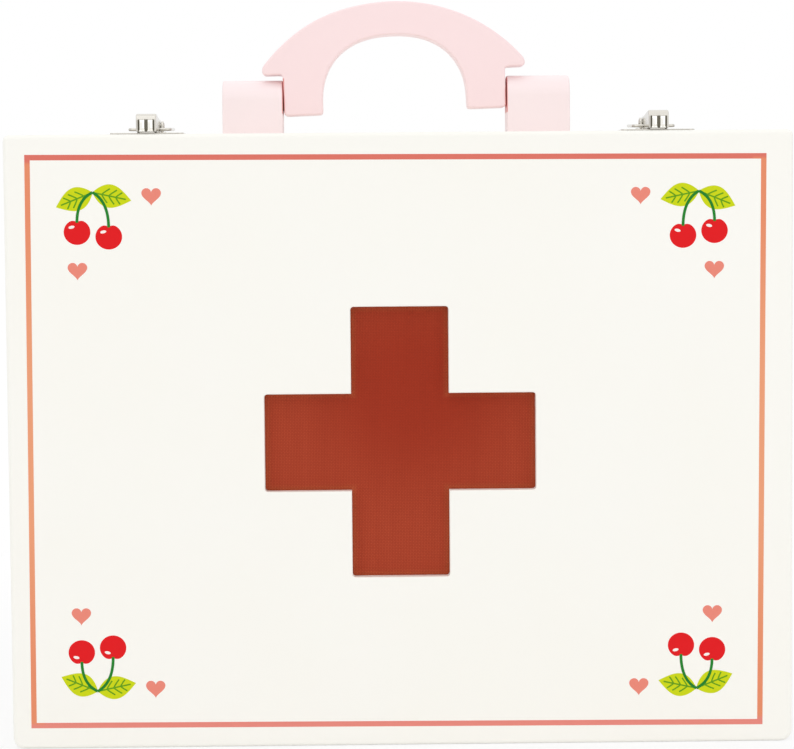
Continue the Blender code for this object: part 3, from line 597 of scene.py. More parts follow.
@dataclass(frozen=True, kw_only=True)
class FlutedPlating(Plating):
    """Nickel on a fluted lever, with painted highlights on the flutes and painted shade on the sunk field
    round them.

    The field is found on the front of the nose, below the band on top of it, and the flutes in the field by
    their distance from the lever's middle.
    """

    middle: float
    front: float
    band_bottom: float
    spacing: float
    flute_half: float
    field_half: float
    field_depth: float = 1.0 * MM
    field_height: float = 5.0 * MM
    # Painted highlight on the flutes, and painted shade on the field round them
    flute_highlight: str = "#f6f4ee"
    field_shade: str = "#6a665a"
    blur: float = 0.12 * MM

    def pattern(self, tree: Tree, place: Socket, noise: Node) -> Pattern:
        """The nickel's own, then painted shade over the field, then painted highlights on the flutes.

        Args:
            tree: The material's node tree.
            place: The object's own coordinates.
            noise: The rub marks.

        Returns:
            The layers of colour, and the rub marks' height.
        """
        layers, height = super().pattern(tree, place, noise)
        x, y, z = add_node(tree, "ShaderNodeSeparateXYZ", {0: place}).outputs
        area = masked(tree, x, self.middle, self.field_half, self.blur)
        area = masked(tree, y, self.front, self.field_depth, self.blur, area)
        area = masked(tree, z, self.band_bottom - self.field_height, self.field_height, self.blur, area)
        places = (self.middle - self.spacing, self.middle + self.spacing)
        flutes = [masked(tree, x, place, self.flute_half, self.blur, area) for place in places]
        return layers + [(area, self.field_shade)] + [(flute, self.flute_highlight) for flute in flutes], height


@dataclass(frozen=True, kw_only=True)
class Weave(Finish):
    """Plain-woven cotton: a grid of threads that pass over and under each other, matt and a little fuzzy.

    At half a millimetre a thread is about a pixel and a half wide in the picture, so that mostly the checks
    of warp and weft show. The colour is painted sheen, darkest in the middle and lighter away from it, with
    painted light along the window's edge. The noise makes faint streaks along the warp.
    """

    gap: str
    roughness: float = 0.85
    slot: Slot = Slot.CLOTH
    specular: float = 0.15
    grain: float = 2.4 * MM
    drawn: Triple = (1.0, 1.0, 0.06)
    depth: float = 0.05 * MM
    pitch: float = 0.5 * MM
    weft_shade: float = 0.22
    streak_shade: float = 0.35
    # Painted sheen: the cloth grows lighter from this dark middle out to the second colour
    sheen_middle: Triple = (4 * MM, -40 * MM, 114 * MM)
    fade: Pair = (8 * MM, 48 * MM)
    # Painted light along the window's edge, where the board's thickness shades the cloth
    rim_light: str = "#d8824f"
    rim_light_share: float = 0.34
    rim: float = 1.2 * MM

    def painted_rim_light(self, tree: Tree, x: Socket, z: Socket) -> Node:
        """The painted light's share along the window's edge: zero in the larger of its two bars' masks, each
        drawn in.

        Args:
            tree: The material's node tree.
            x: The coordinate across the board.
            z: The height.

        Returns:
            The share's node.
        """
        bars = []
        for half in ((WINDOW_SPAN / 2, WINDOW_ARM / 2), (WINDOW_ARM / 2, WINDOW_SPAN / 2)):
            mask = masked(tree, x, WINDOW_MIDDLE.x, half[0] - self.rim, self.rim)
            bars.append(masked(tree, z, WINDOW_MIDDLE.z, half[1] - self.rim, self.rim, mask))
        inner = add_node(tree, "ShaderNodeMath", dict(enumerate(bars)), operation="MAXIMUM")
        inputs = {"Value": inner, "To Min": self.rim_light_share, "To Max": 0.0}
        return add_node(tree, "ShaderNodeMapRange", inputs)

    def pattern(self, tree: Tree, place: Socket, noise: Node) -> Pattern:
        """Two crossed sets of ribs, |sin| of each way, the higher where the product of the two sines says so.

        Painted sheen lightens the colour by the distance from its dark middle, and painted light by the
        window's edge. Each pattern shades it by its own share, and the valleys between the ribs have the
        gaps' colour.

        Args:
            tree: The material's node tree.
            place: The object's own coordinates.
            noise: The streaks along the warp.

        Returns:
            The layers of colour, and the ribs' height.
        """
        x, _, z = add_node(tree, "ShaderNodeSeparateXYZ", {0: place}).outputs
        waves, ribs = [], []
        for way in (x, z):
            turn = add_node(tree, "ShaderNodeMath", {0: way, 1: math.pi / self.pitch}, operation="MULTIPLY")
            waves.append(add_node(tree, "ShaderNodeMath", {0: turn}, operation="SINE"))
            ribs.append(add_node(tree, "ShaderNodeMath", {0: waves[-1]}, operation="ABSOLUTE"))
        product = add_node(tree, "ShaderNodeMath", dict(enumerate(waves)), operation="MULTIPLY")
        weft_over = add_node(tree, "ShaderNodeMath", {0: product, 1: 0.0}, operation="GREATER_THAN")
        height = add_node(tree, "ShaderNodeMix", {"Factor": weft_over, "A": ribs[0], "B": ribs[1]})
        valley = add_node(tree, "ShaderNodeMath", {0: 1.0, 1: height}, operation="SUBTRACT")
        away = add_node(tree, "ShaderNodeVectorMath", {0: place, 1: self.sheen_middle}, operation="DISTANCE")
        span = {"Value": away, "From Min": self.fade[0], "From Max": self.fade[1]}
        sheen = add_node(tree, "ShaderNodeMapRange", span, interpolation_type="SMOOTHSTEP")
        # Painted sheen away from the dark middle, then painted light along the window's edge
        layers = [(sheen, self.second), (self.painted_rim_light(tree, x, z), self.rim_light)]
        for mask, shade in ((noise, self.streak_shade), (weft_over, self.weft_shade), (valley, 1.0)):
            share = add_node(tree, "ShaderNodeMath", {0: mask, 1: shade}, operation="MULTIPLY")
            layers.append((share, self.gap))
        return layers, height


@dataclass(frozen=True)
class ScreenInk(Finish):
    """Screen-printed ink: flat and matt, a little uneven where the mesh of the screen let it through."""

    roughness: float = 0.5
    specular: float = 0.15


@dataclass(frozen=True)
class BorderInk(ScreenInk):
    """The border line's coral ink: paler along the bottom, and more orange on the uprights' middle."""

    upright: str = "#efa279"
    upright_end: str = "#ea9069"
    width: float = 3 * MM
    end: float = 1.1 * MM
    blur: float = 0.8 * MM
    orange_reach: float = 50 * MM
    orange_blur: float = 30 * MM
    thin_share: float = 0.12

    def pattern(self, tree: Tree, place: Socket, noise: Node) -> Pattern:
        """Paler by height, then each upright's colours between the two lying lines, then the thin spots.

        Args:
            tree: The material's node tree.
            place: The object's own coordinates.
            noise: The mesh of the screen.

        Returns:
            The layers of colour, and the height, which is the noise.
        """
        x, _, z = add_node(tree, "ShaderNodeSeparateXYZ", {0: place}).outputs
        low, high = BORDER_LOW[1], BORDER_HIGH[1]
        span = {"Value": z, "From Min": low, "From Max": high, "To Min": 1.0, "To Max": 0.0}
        layers = [(add_node(tree, "ShaderNodeMapRange", span, interpolation_type="SMOOTHSTEP"), self.second)]
        middle = (low + high) / 2
        between = masked(tree, z, middle, (high - low) / 2 - self.end, self.blur)
        for line in (BORDER_LOW[0], BORDER_HIGH[0]):
            upright = masked(tree, x, line, self.width, self.blur, between)
            orange = masked(tree, z, middle, self.orange_reach, self.orange_blur, upright)
            layers += [(upright, self.upright_end), (orange, self.upright)]
        spots = add_node(tree, "ShaderNodeMath", {0: noise, 1: self.thin_share}, operation="MULTIPLY")
        return layers + [(spots, self.second)], noise


@dataclass(frozen=True)
class Beech(Finish):
    """Planed beech: pale brown, with short dark flecks along the grain, which runs along X."""

    roughness: float = 0.55
    slot: Slot = Slot.BEECH
    grain: float = 1.6 * MM
    drawn: Triple = (0.12, 1.0, 1.0)
    detail: float = 5.0


# The middles of the gaps between the CAD's grip and posts. Shade is painted in them from a little under the
# dowels to a little under the posts' tops.
GAP_HALF = 0.15 * MM
SHADE_UNDER_DOWEL = 0.9 * MM
SHADE_UNDER_TOP = 0.6 * MM
GAPS = (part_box("left_post")[1].x + GAP_HALF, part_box("right_post")[0].x - GAP_HALF)
RISE = (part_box("left_grip_dowel")[0].z - SHADE_UNDER_DOWEL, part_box("right_post")[1].z - SHADE_UNDER_TOP)

WHITE_LACQUER = Lacquer("white_lacquer_on_fibreboard", "#fdfcf7", "#fcfaf2")
PINK_LACQUER, PALE_PINK_LACQUER = (
    JointedLacquer(f"{slot.value}_on_beech", colour, second, slot=slot, gaps=GAPS, rise=RISE)
    for slot, colour, second in ((Slot.PINK, "#fee6e7", "#fde3e4"), (Slot.PALE_PINK, "#feeeef", "#feecec"))
)
NICKEL = Plating("bright_nickel_on_steel", "#d2cfc8", "#bdb9b1", roughness=0.14, uneven=0.056)
ZINC = Plating("dull_zinc_on_steel", "#bdbdba", "#9c9c99", roughness=0.34, uneven=0.136, slot=Slot.ZINC)
# The second colour is painted sheen, lighter away from the cloth's dark middle
RED_COTTON = Weave(name="brick_red_plain_weave", colour="#ad3922", second="#c45437", gap="#96301c")
BEECH = Beech("planed_beech", "#d9b58a", "#b98d5e")
BORDER_INK = BorderInk("coral_screen_ink", "#df7465", "#e98b7f")
LEAF_INK = ScreenInk("lime_screen_ink", "#d2dc0c", "#cad614")
VEIN_INK = ScreenInk("leaf_green_screen_ink", "#5c9a12", "#68a41c")
STALK_INK = ScreenInk("dark_green_screen_ink", "#1a7c26", "#268630")
FRUIT_INK = ScreenInk("red_screen_ink", "#e8141a", "#e01a20")
HEART_INK = ScreenInk("pale_coral_screen_ink", "#ee8676", "#ec907e")
GLINT_INK = ScreenInk("white_screen_ink", "#fdf6f2", "#fbf0ec")

_materials: dict[str, bpy.types.Material] = {}


def material_of(finish: Finish) -> bpy.types.Material:
    """The finish's material, made when it is first asked for.

    Args:
        finish: The finish.

    Returns:
        The material.
    """
    if finish.name not in _materials:
        _materials[finish.name] = new_material(finish.name, finish.dress)
    return _materials[finish.name]


# Pieces


def raw_object(name: str, surface: Surface) -> bpy.types.Object:
    """Put a surface into a new object, its doubles merged and its faces turned outwards.

    Args:
        name: The object's name.
        surface: The closed surface.

    Returns:
        The object.
    """
    mesh = bpy.data.meshes.new(name)
    mesh.from_pydata(surface.points, [], surface.faces)
    shell = bmesh.new()
    shell.from_mesh(mesh)
    bmesh.ops.remove_doubles(shell, verts=shell.verts, dist=WELD)
    bmesh.ops.dissolve_degenerate(shell, edges=shell.edges, dist=WELD)
    bmesh.ops.recalc_face_normals(shell, faces=shell.faces)
    shell.to_mesh(mesh)
    shell.free()
    made = bpy.data.objects.new(name, mesh)
    bpy.context.scene.collection.objects.link(made)
    return made


def carve(target: bpy.types.Object, surface: Surface, operation: str) -> None:
    """Cut a closed surface out of an object, or join it on, for good.

    Args:
        target: The object.
        surface: The closed surface.
        operation: DIFFERENCE to cut, or UNION to join.
    """
    helper = raw_object("helper", surface)
    change = target.modifiers.new("carve", "BOOLEAN")
    change.operation = operation
    change.object = helper
    seen = target.evaluated_get(bpy.context.evaluated_depsgraph_get())
    mesh = bpy.data.meshes.new_from_object(seen)
    target.modifiers.clear()
    target.data = mesh
    bpy.data.objects.remove(helper)


def piece(
    name: str,
    surface: Surface,
    finish: Finish,
    body: str,
    replaces: Sequence[str] = (),
    cuts: Sequence[Surface] = (),
    joins: Sequence[Surface] = (),
) -> bpy.types.Object:
    """Make a piece, dress it, and have it ride on its body.

    Args:
        name: The piece's name.
        surface: Its closed surface.
        finish: Its finish.
        body: The CAD body that it moves with.
        replaces: The CAD nodes that it stands for.
        cuts: Closed surfaces to cut out of it.
        joins: Closed surfaces to join on first.

    Returns:
        The finished object.
    """
    made = raw_object(name, surface)
    for operation, parts in (("UNION", joins), ("DIFFERENCE", cuts)):
        for part in parts:
            carve(made, part, operation)
    made.data.name = name
    made.data.shade_smooth()
    made.data.set_sharp_from_angle(angle=math.radians(CREASE_DEG))
    made.data.materials.append(material_of(finish))
    made.modifiers.new("flat_faces_stay_flat", "WEIGHTED_NORMAL").keep_sharp = True
    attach(made, body)
    if replaces:
        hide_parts(*replaces)
    log.info("%s: %d faces, on %s", name, len(made.data.polygons), body)
    return made


def smoothing_group() -> Tree:
    """Nodes that weld a CAD node's loose triangles and shade its gentle edges smooth.

    Returns:
        The group of geometry nodes.
    """
    group = bpy.data.node_groups.new("weld_and_smooth", "GeometryNodeTree")
    for way in ("INPUT", "OUTPUT"):
        group.interface.new_socket("Geometry", in_out=way, socket_type="NodeSocketGeometry")
    source = add_node(group, "NodeGroupInput").outputs[0]
    plain = add_node(group, "GeometryNodeRemoveAttribute", {"Geometry": source, "Name": "custom_normal"})
    welded = add_node(group, "GeometryNodeMergeByDistance", {"Geometry": plain, "Distance": WELD})
    smooth = add_node(group, "GeometryNodeSetShadeSmooth", {"Geometry": welded, "Shade Smooth": True})
    angle = add_node(group, "GeometryNodeInputMeshEdgeAngle").outputs["Unsigned Angle"]
    gentle = add_node(group, "ShaderNodeMath", {0: angle, 1: math.radians(CREASE_DEG)}, operation="LESS_THAN")
    inputs = {"Geometry": smooth, "Shade Smooth": gentle}
    eased = add_node(group, "GeometryNodeSetShadeSmooth", inputs, domain="EDGE")
    add_node(group, "NodeGroupOutput", {0: eased})
    return group


@dataclass
class CarriedNodes:
    """CAD nodes whose shape is right: they are welded, eased at their edges, and dressed."""

    group: Tree = field(default_factory=smoothing_group)

    def dress(self, names: Iterable[str], finish: Finish, ease: float = 0.0) -> None:
        """Dress several nodes alike.

        Args:
            names: The nodes.
            finish: Their finish.
            ease: The width of the bevel along their sharp edges.
        """
        for name in names:
            node = frame["nodes"][name]
            for place in node.material_slots:
                place.material = material_of(finish)
            node.modifiers.new("weld_and_smooth", "NODES").node_group = self.group
            if ease:
                bevel = node.modifiers.new("eased_edges", "BEVEL")
                bevel.width = ease
                bevel.segments = 2
                bevel.limit_method = "ANGLE"
                bevel.angle_limit = math.radians(EASED_DEG)
            node.modifiers.new("flat_faces_stay_flat", "WEIGHTED_NORMAL").keep_sharp = True
            log.info("%s: carried, %s", name, finish.name)


CARRIED = CarriedNodes()


# The boards


@dataclass
class FrontBoard:
    """The lacquered front board with its cross window, whose front edge is eased."""

    top_corner: float = 1.8 * MM
    bottom_corner: float = 3.5 * MM
    edge: float = 1.4 * MM
    arm_corner: float = 1.0 * MM
    window_edge: float = 0.4 * MM
    steps: int = 7
    around: int = 360
    near_turn: float = 0.05

    def build(self) -> None:
        """A closed band carried round the window: at each turn, one section from the window out and back.

        The section runs along the window's wall to the front, over the eased edge, across the face, over the
        rounded outer edge and along the side to the back. The turns crowd at the window's corners and at the
        board's, whose arcs have their middles about a third of their radius inside the square corners.
        """
        low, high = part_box("front_panel")
        middle = (low + high) / 2
        half = ((high.x - low.x) / 2, (high.z - low.z) / 2)
        front, back = FRONT_FACE_Y, high.y
        span, arm = WINDOW_SPAN / 2, WINDOW_ARM / 2
        insides = (self.top_corner / 3, self.bottom_corner / 3)
        corners = [(span, arm), (arm, span), (arm, arm), *((half[0] - d, half[1] - d) for d in insides)]
        turns = turns_through(corners, self.around, self.near_turn)
        corner = np.where(np.sin(turns) > 0, self.top_corner, self.bottom_corner)
        window_depth, grow = quarter(self.window_edge, self.steps)
        draw_in, side_depth = quarter(self.edge, self.steps)
        window = [plus_reach(turns, span + g, arm + g, self.arm_corner + g) for g in (0.0, *grow)]
        outside = [rectangle_reach(turns, (half[0] - d, half[1] - d), corner - d) for d in (*draw_in, 0.0)]
        reach = np.stack(window + outside)
        depth = np.array([back, *(front + window_depth), *(front + side_depth), back])[:, None]
        centre = np.repeat([WINDOW_MIDDLE.xz, middle.xz], [len(window), len(outside)], axis=0)
        u, v = centre[:, :1] + reach * np.cos(turns), centre[:, 1:] + reach * np.sin(turns)
        board = skin(Plane.XZ.place(u, v, depth), round_again=True)
        piece("front_board", board, WHITE_LACQUER, "lid", ["front_panel"])


@dataclass
class BackBoard:
    """The plain lacquered back board."""

    corner: float = 3.5 * MM
    edge: float = 1.4 * MM
    steps: int = 8

    def build(self) -> None:
        """A slab whose outer edge is rounded; its inner edge, against the rails, is square."""
        low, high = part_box("back_panel")
        outline = rounded_rectangle((low.x, low.z), (high.x, high.z), self.corner)
        depth, draw_in = quarter(self.edge, self.steps)
        rings = inset(outline, np.array([0.0, *draw_in])[:, None, None])
        slab = drawn_out(rings, [low.y, *(high.y - depth)], Plane.XZ)
        piece("back_board", slab, WHITE_LACQUER, "base", ["back_panel"])


# The print


@dataclass
class Print:
    """The screen print on the front board: a border line, and a sprig with two hearts in each corner.

    Each ink is one film of closed flat shapes, laid over the last one and rooted in the board. The whole
    print sits a little turned on the board.
    """

    line: float = 1.75 * MM
    turn_deg: float = -0.3
    layer: float = 0.015 * MM
    root: float = 0.10 * MM
    film_shares: tuple[float, ...] = (0.0, 0.5, 0.96, 1.0, 1.0, 0.0)

    def film(self, outline: Array, layer: float) -> Surface:
        """A flat closed shape: its outline drawn in towards its middle by the film's shares, its rim soft.

        Args:
            outline: The shape's outline.
            layer: How many layers it stands above the board.

        Returns:
            The closed film.
        """
        middle = outline.mean(axis=0)
        rings = middle + (outline - middle) * np.array(self.film_shares)[:, None, None]
        level = np.array([0.0, 0.0, 0.0, self.layer / 2, self.root, self.root])
        return drawn_out(rings, FRONT_FACE_Y - self.layer * layer + level, Plane.XZ)

    def stroke(self, path: Array, width: float, layer: float) -> Surface:
        """A drawn stroke: a flat ribbon along a path.

        Args:
            path: The ribbon's middle line.
            width: The ribbon's width.
            layer: How many layers it stands above the board.

        Returns:
            The closed ribbon.
        """
        along = np.gradient(path, axis=0)
        along /= np.linalg.norm(along, axis=1, keepdims=True)
        beside = np.stack([-along[:, 1], along[:, 0]], axis=-1) * width / 2
        left, right = path + beside, path - beside
        edges = np.stack([left, right, right, left], axis=1)
        level = FRONT_FACE_Y - self.layer * layer + np.array([0.0, 0.0, self.root, self.root])
        return skin(Plane.XZ.place(edges[..., 0], edges[..., 1], level))

    def border(self) -> Surface:
        """The border line: four rectangles of corners, outside and inside, front and back, joined in turn.

        Returns:
            The closed line.
        """
        half, front = self.line / 2, FRONT_FACE_Y - self.layer
        spread = np.array([half, half - self.layer, self.layer - half, -half])[:, None]
        level = np.array([FRONT_FACE_Y + self.root, front, front, FRONT_FACE_Y + self.root])[:, None]
        (left, bottom), (right, top) = BORDER_LOW, BORDER_HIGH
        u = np.array([left, right, right, left]) + spread * np.array([-1, 1, 1, -1])
        v = np.array([bottom, bottom, top, top]) + spread * np.array([-1, -1, 1, 1])
        return skin(Plane.XZ.place(u, v, level), round_again=True)

    def build(self) -> None:
        """Lay the inks down in order, the border line first, each turned with the whole print."""
        inks: dict[ScreenInk, list[Surface]] = {BORDER_INK: [self.border()]}
        low, high = np.array([BORDER_LOW, BORDER_HIGH])
        for way in np.array([(1, 1), (1, -1), (-1, 1), (-1, -1)]):
            for ink, surface in CornerSprig(self, np.where(way > 0, low, high), way).parts():
                inks.setdefault(ink, []).append(surface)
        middle = Matrix.Translation(((low[0] + high[0]) / 2, 0, (low[1] + high[1]) / 2))
        settle = middle @ Matrix.Rotation(-math.radians(self.turn_deg), 4, "Y") @ middle.inverted()
        for ink, surfaces in inks.items():
            name = "border_line" if ink is BORDER_INK else f"print_{ink.name}"
            piece(name, placed(together(surfaces), settle), ink, "lid")


@dataclass
class CornerSprig:
    """A sprig of two leaves and two round fruits in a corner, and two hearts on their own.

    Places are distances from the corner of the border line, towards the middle of the board. Shares are of
    the leaf's length and half width, or of the fruit's radius. Layers are counted above the board: each
    stroke of an ink has its own, so that no two lie in one plane.
    """

    sheet: Print
    corner: Array
    way: Array
    joint: Pair = (20.5 * MM, 11.0 * MM)
    fruits: tuple[Pair, ...] = ((15.5 * MM, 23.5 * MM), (25.5 * MM, 25.0 * MM))
    fruit_radius: float = 4.1 * MM
    fruit_stretch: Pair = (1.03, 0.98)
    dimple_share: float = 0.16
    dimple_turn: float = 0.32
    glint_half: Pair = (0.9 * MM, 0.5 * MM)
    glint_lean: float = 0.3 * MM
    glint_shares: Pair = (0.42, 0.38)
    hearts: tuple[Pair, ...] = ((39.0 * MM, 12.0 * MM), (15.5 * MM, 35.5 * MM))
    heart_width: float = 6.2 * MM
    leaf_length: float = 12.5 * MM
    leaf_width: float = 7.4 * MM
    leaf_turns_deg: Pair = (12.0, 158.0)
    tip_power: float = 0.85
    rib_share: float = 0.86
    vein_start_shares: Triple = (0.24, 0.42, 0.60)
    vein_reach_shares: Triple = (0.62, 0.62, 0.50)
    vein_lean_share: float = 0.95
    vein: float = 0.45 * MM
    stalk: float = 0.9 * MM
    stalk_end_share: float = 0.72
    stalk_bow_share: float = 0.25
    leaf_layers: Pair = (1.0, 1.2)
    rib_layers: Pair = (2.4, 2.6)
    vein_layers: Pair = (1.6, 1.65)
    vein_layer_step: float = 0.1
    stalk_layers: Pair = (3.0, 3.4)
    glint_layer: float = 2.0

    def leaf(self) -> Array:
        """A pointed leaf: its half width is a sine of the way along, drawn towards the tip by a power.

        Returns:
            The outline, from the joint along +u.
        """
        share = np.linspace(0, 1, num=40)
        half = self.leaf_width / 2 * np.sin(np.pi * share**self.tip_power)
        upper, lower = (np.stack([share * self.leaf_length, side * half], axis=-1) for side in (1, -1))
        return np.concatenate([upper, lower[-2:0:-1]])

    def veins(self) -> list[Array]:
        """The midrib, and three veins to each side of it, which bend towards the tip by the same power.

        Returns:
            The paths, the midrib first.
        """
        share = np.linspace(0, 1, num=8)[:, None]
        paths = [share * np.array([[self.rib_share * self.leaf_length, 0.0]])]
        for side in (-1, 1):
            for start_share, reach_share in zip(self.vein_start_shares, self.vein_reach_shares):
                far = reach_share * self.leaf_width / 2
                bend = [share * far * self.vein_lean_share, side * far * share**self.tip_power]
                paths.append(np.array([start_share * self.leaf_length, 0.0]) + np.concatenate(bend, axis=-1))
        return paths

    def turned(self, shape: Array, turn_deg: float) -> Array:
        """Turn a shape about the joint, from which its coordinates run."""
        cosine, sine = math.cos(math.radians(turn_deg)), math.sin(math.radians(turn_deg))
        return np.array(self.joint) + shape @ np.array([[cosine, sine], [-sine, cosine]])

    def stalk_to(self, fruit: Pair) -> Array:
        """A bowed stalk from the joint to a fruit: a curve of the second degree through a pulled middle.

        Args:
            fruit: The fruit's middle.

        Returns:
            The path.
        """
        share = np.linspace(0, 1, num=24)[:, None]
        start = np.array(self.joint)
        end = np.array(fruit) - np.array([0.0, self.stalk_end_share * self.fruit_radius])
        pulled = np.array([end[0], start[1] + self.stalk_bow_share * (end[1] - start[1])])
        return (1 - share) ** 2 * start + 2 * share * (1 - share) * pulled + share**2 * end

    def fruit(self, middle: Pair) -> Array:
        """A round fruit: a circle, a little stretched, with a bell-shaped dimple where the stalk goes in.

        Args:
            middle: The fruit's middle.

        Returns:
            The outline.
        """
        turns = full_turn(steps=64)
        dimple = 1 - self.dimple_share * np.exp(-(((turns - 1.5 * np.pi) / self.dimple_turn) ** 2))
        ray = np.stack([np.cos(turns), np.sin(turns)], axis=-1) * self.fruit_stretch
        return np.array(middle) + self.fruit_radius * dimple[:, None] * ray

    def glint(self, middle: Pair) -> Array:
        """A small bright leaning oval on a fruit's shoulder.

        Args:
            middle: The fruit's middle.

        Returns:
            The outline.
        """
        turns = full_turn(steps=24)
        across = self.glint_half[0] * np.cos(turns) - self.glint_lean * np.sin(turns)
        off = self.fruit_radius * np.array(self.glint_shares) * (-self.way[0], -1)
        return np.array(middle) + off + np.stack([across, self.glint_half[1] * np.sin(turns)], axis=-1)

    def heart(self, middle: Pair) -> Array:
        """A heart: 16 sin^3 across and 13 cos - 5 cos 2 - 2 cos 3 - cos 4 up, as the turn goes round.

        Args:
            middle: The heart's middle.

        Returns:
            The outline.
        """
        turns = full_turn(steps=72)
        across = 16 * np.sin(turns) ** 3
        up = 13 * np.cos(turns) - 5 * np.cos(2 * turns) - 2 * np.cos(3 * turns) - np.cos(4 * turns)
        return np.array(middle) + self.heart_width / 32 * np.stack([across, up * self.way[1]], axis=-1)

    def parts(self) -> list[tuple[ScreenInk, Surface]]:
        """Every shape in this corner, the lowest first: each is a film, or a stroke where it has a width.

        Returns:
            Each shape's ink and its surface.
        """
        shapes = []
        layers = zip(self.leaf_turns_deg, self.leaf_layers, self.rib_layers, self.vein_layers)
        for turn, leaf_layer, rib_layer, vein_layer in layers:
            leaf, rib, *branches = (self.turned(shape, turn) for shape in (self.leaf(), *self.veins()))
            shapes += [(LEAF_INK, leaf, 0, leaf_layer), (VEIN_INK, rib, self.vein, rib_layer)]
            for number, branch in enumerate(branches):
                shapes.append((VEIN_INK, branch, self.vein, vein_layer + self.vein_layer_step * number))
        for fruit, layer in zip(self.fruits, self.stalk_layers):
            shapes.append((STALK_INK, self.stalk_to(fruit), self.stalk, layer))
        shapes += [(FRUIT_INK, self.fruit(fruit), 0, 1) for fruit in self.fruits]
        shapes += [(HEART_INK, self.heart(heart), 0, 1) for heart in self.hearts]
        shapes += [(GLINT_INK, self.glint(fruit), 0, self.glint_layer) for fruit in self.fruits]
        made = []
        for ink, shape, width, layer in shapes:
            shape = self.corner + shape * self.way
            surface = self.sheet.stroke(shape, width, layer) if width else self.sheet.film(shape, layer)
            made.append((ink, surface))
        return made


@dataclass
class WindowCloth:
    """The sheet of cotton stretched behind the window and glued to the board's back."""

    steps: int = 96
    pull: float = 0.10 * MM
    waves: tuple[Pair, Pair] = ((7.0, 2.0), (3.0, -6.0))

    def build(self) -> None:
        """A thin closed sheet: both its faces swell and dip by a slow product of sines."""
        low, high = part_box("cross_cloth")
        u, v = np.meshgrid(np.linspace(0, 1, self.steps), np.linspace(0, 1, self.steps))
        (u_first, v_first), (u_second, v_second) = self.waves
        slow = np.sin(u_first * u + v_first * v) * np.sin(u_second * u + v_second * v)
        swell = self.pull * np.sin(np.pi * u) * np.sin(np.pi * v) * (1 + slow) / 2
        x, z = low.x + (high.x - low.x) * u, low.z + (high.z - low.z) * v
        sides = [Plane.XZ.place(x, z, level + swell) for level in (low.y, high.y - self.pull)]
        count = self.steps**2
        index = np.arange(count).reshape(self.steps, self.steps)
        corners = [index[:-1, :-1], index[:-1, 1:], index[1:, 1:], index[1:, :-1]]
        tile = np.stack(corners, axis=-1).reshape(-1, 4)
        rim = np.concatenate([index[0, :-1], index[:-1, -1], index[-1, :0:-1], index[:0:-1, 0]])
        ahead = np.roll(rim, -1)
        wall = np.stack([rim, rim + count, ahead + count, ahead], axis=-1)
        faces = np.concatenate([tile, tile[:, ::-1] + count, wall]).tolist()
        sheet = Surface(np.concatenate(sides).reshape(-1, 3), faces)
        cloth = piece("window_cloth", sheet, RED_COTTON, "lid", ["cross_cloth"])


# The handle


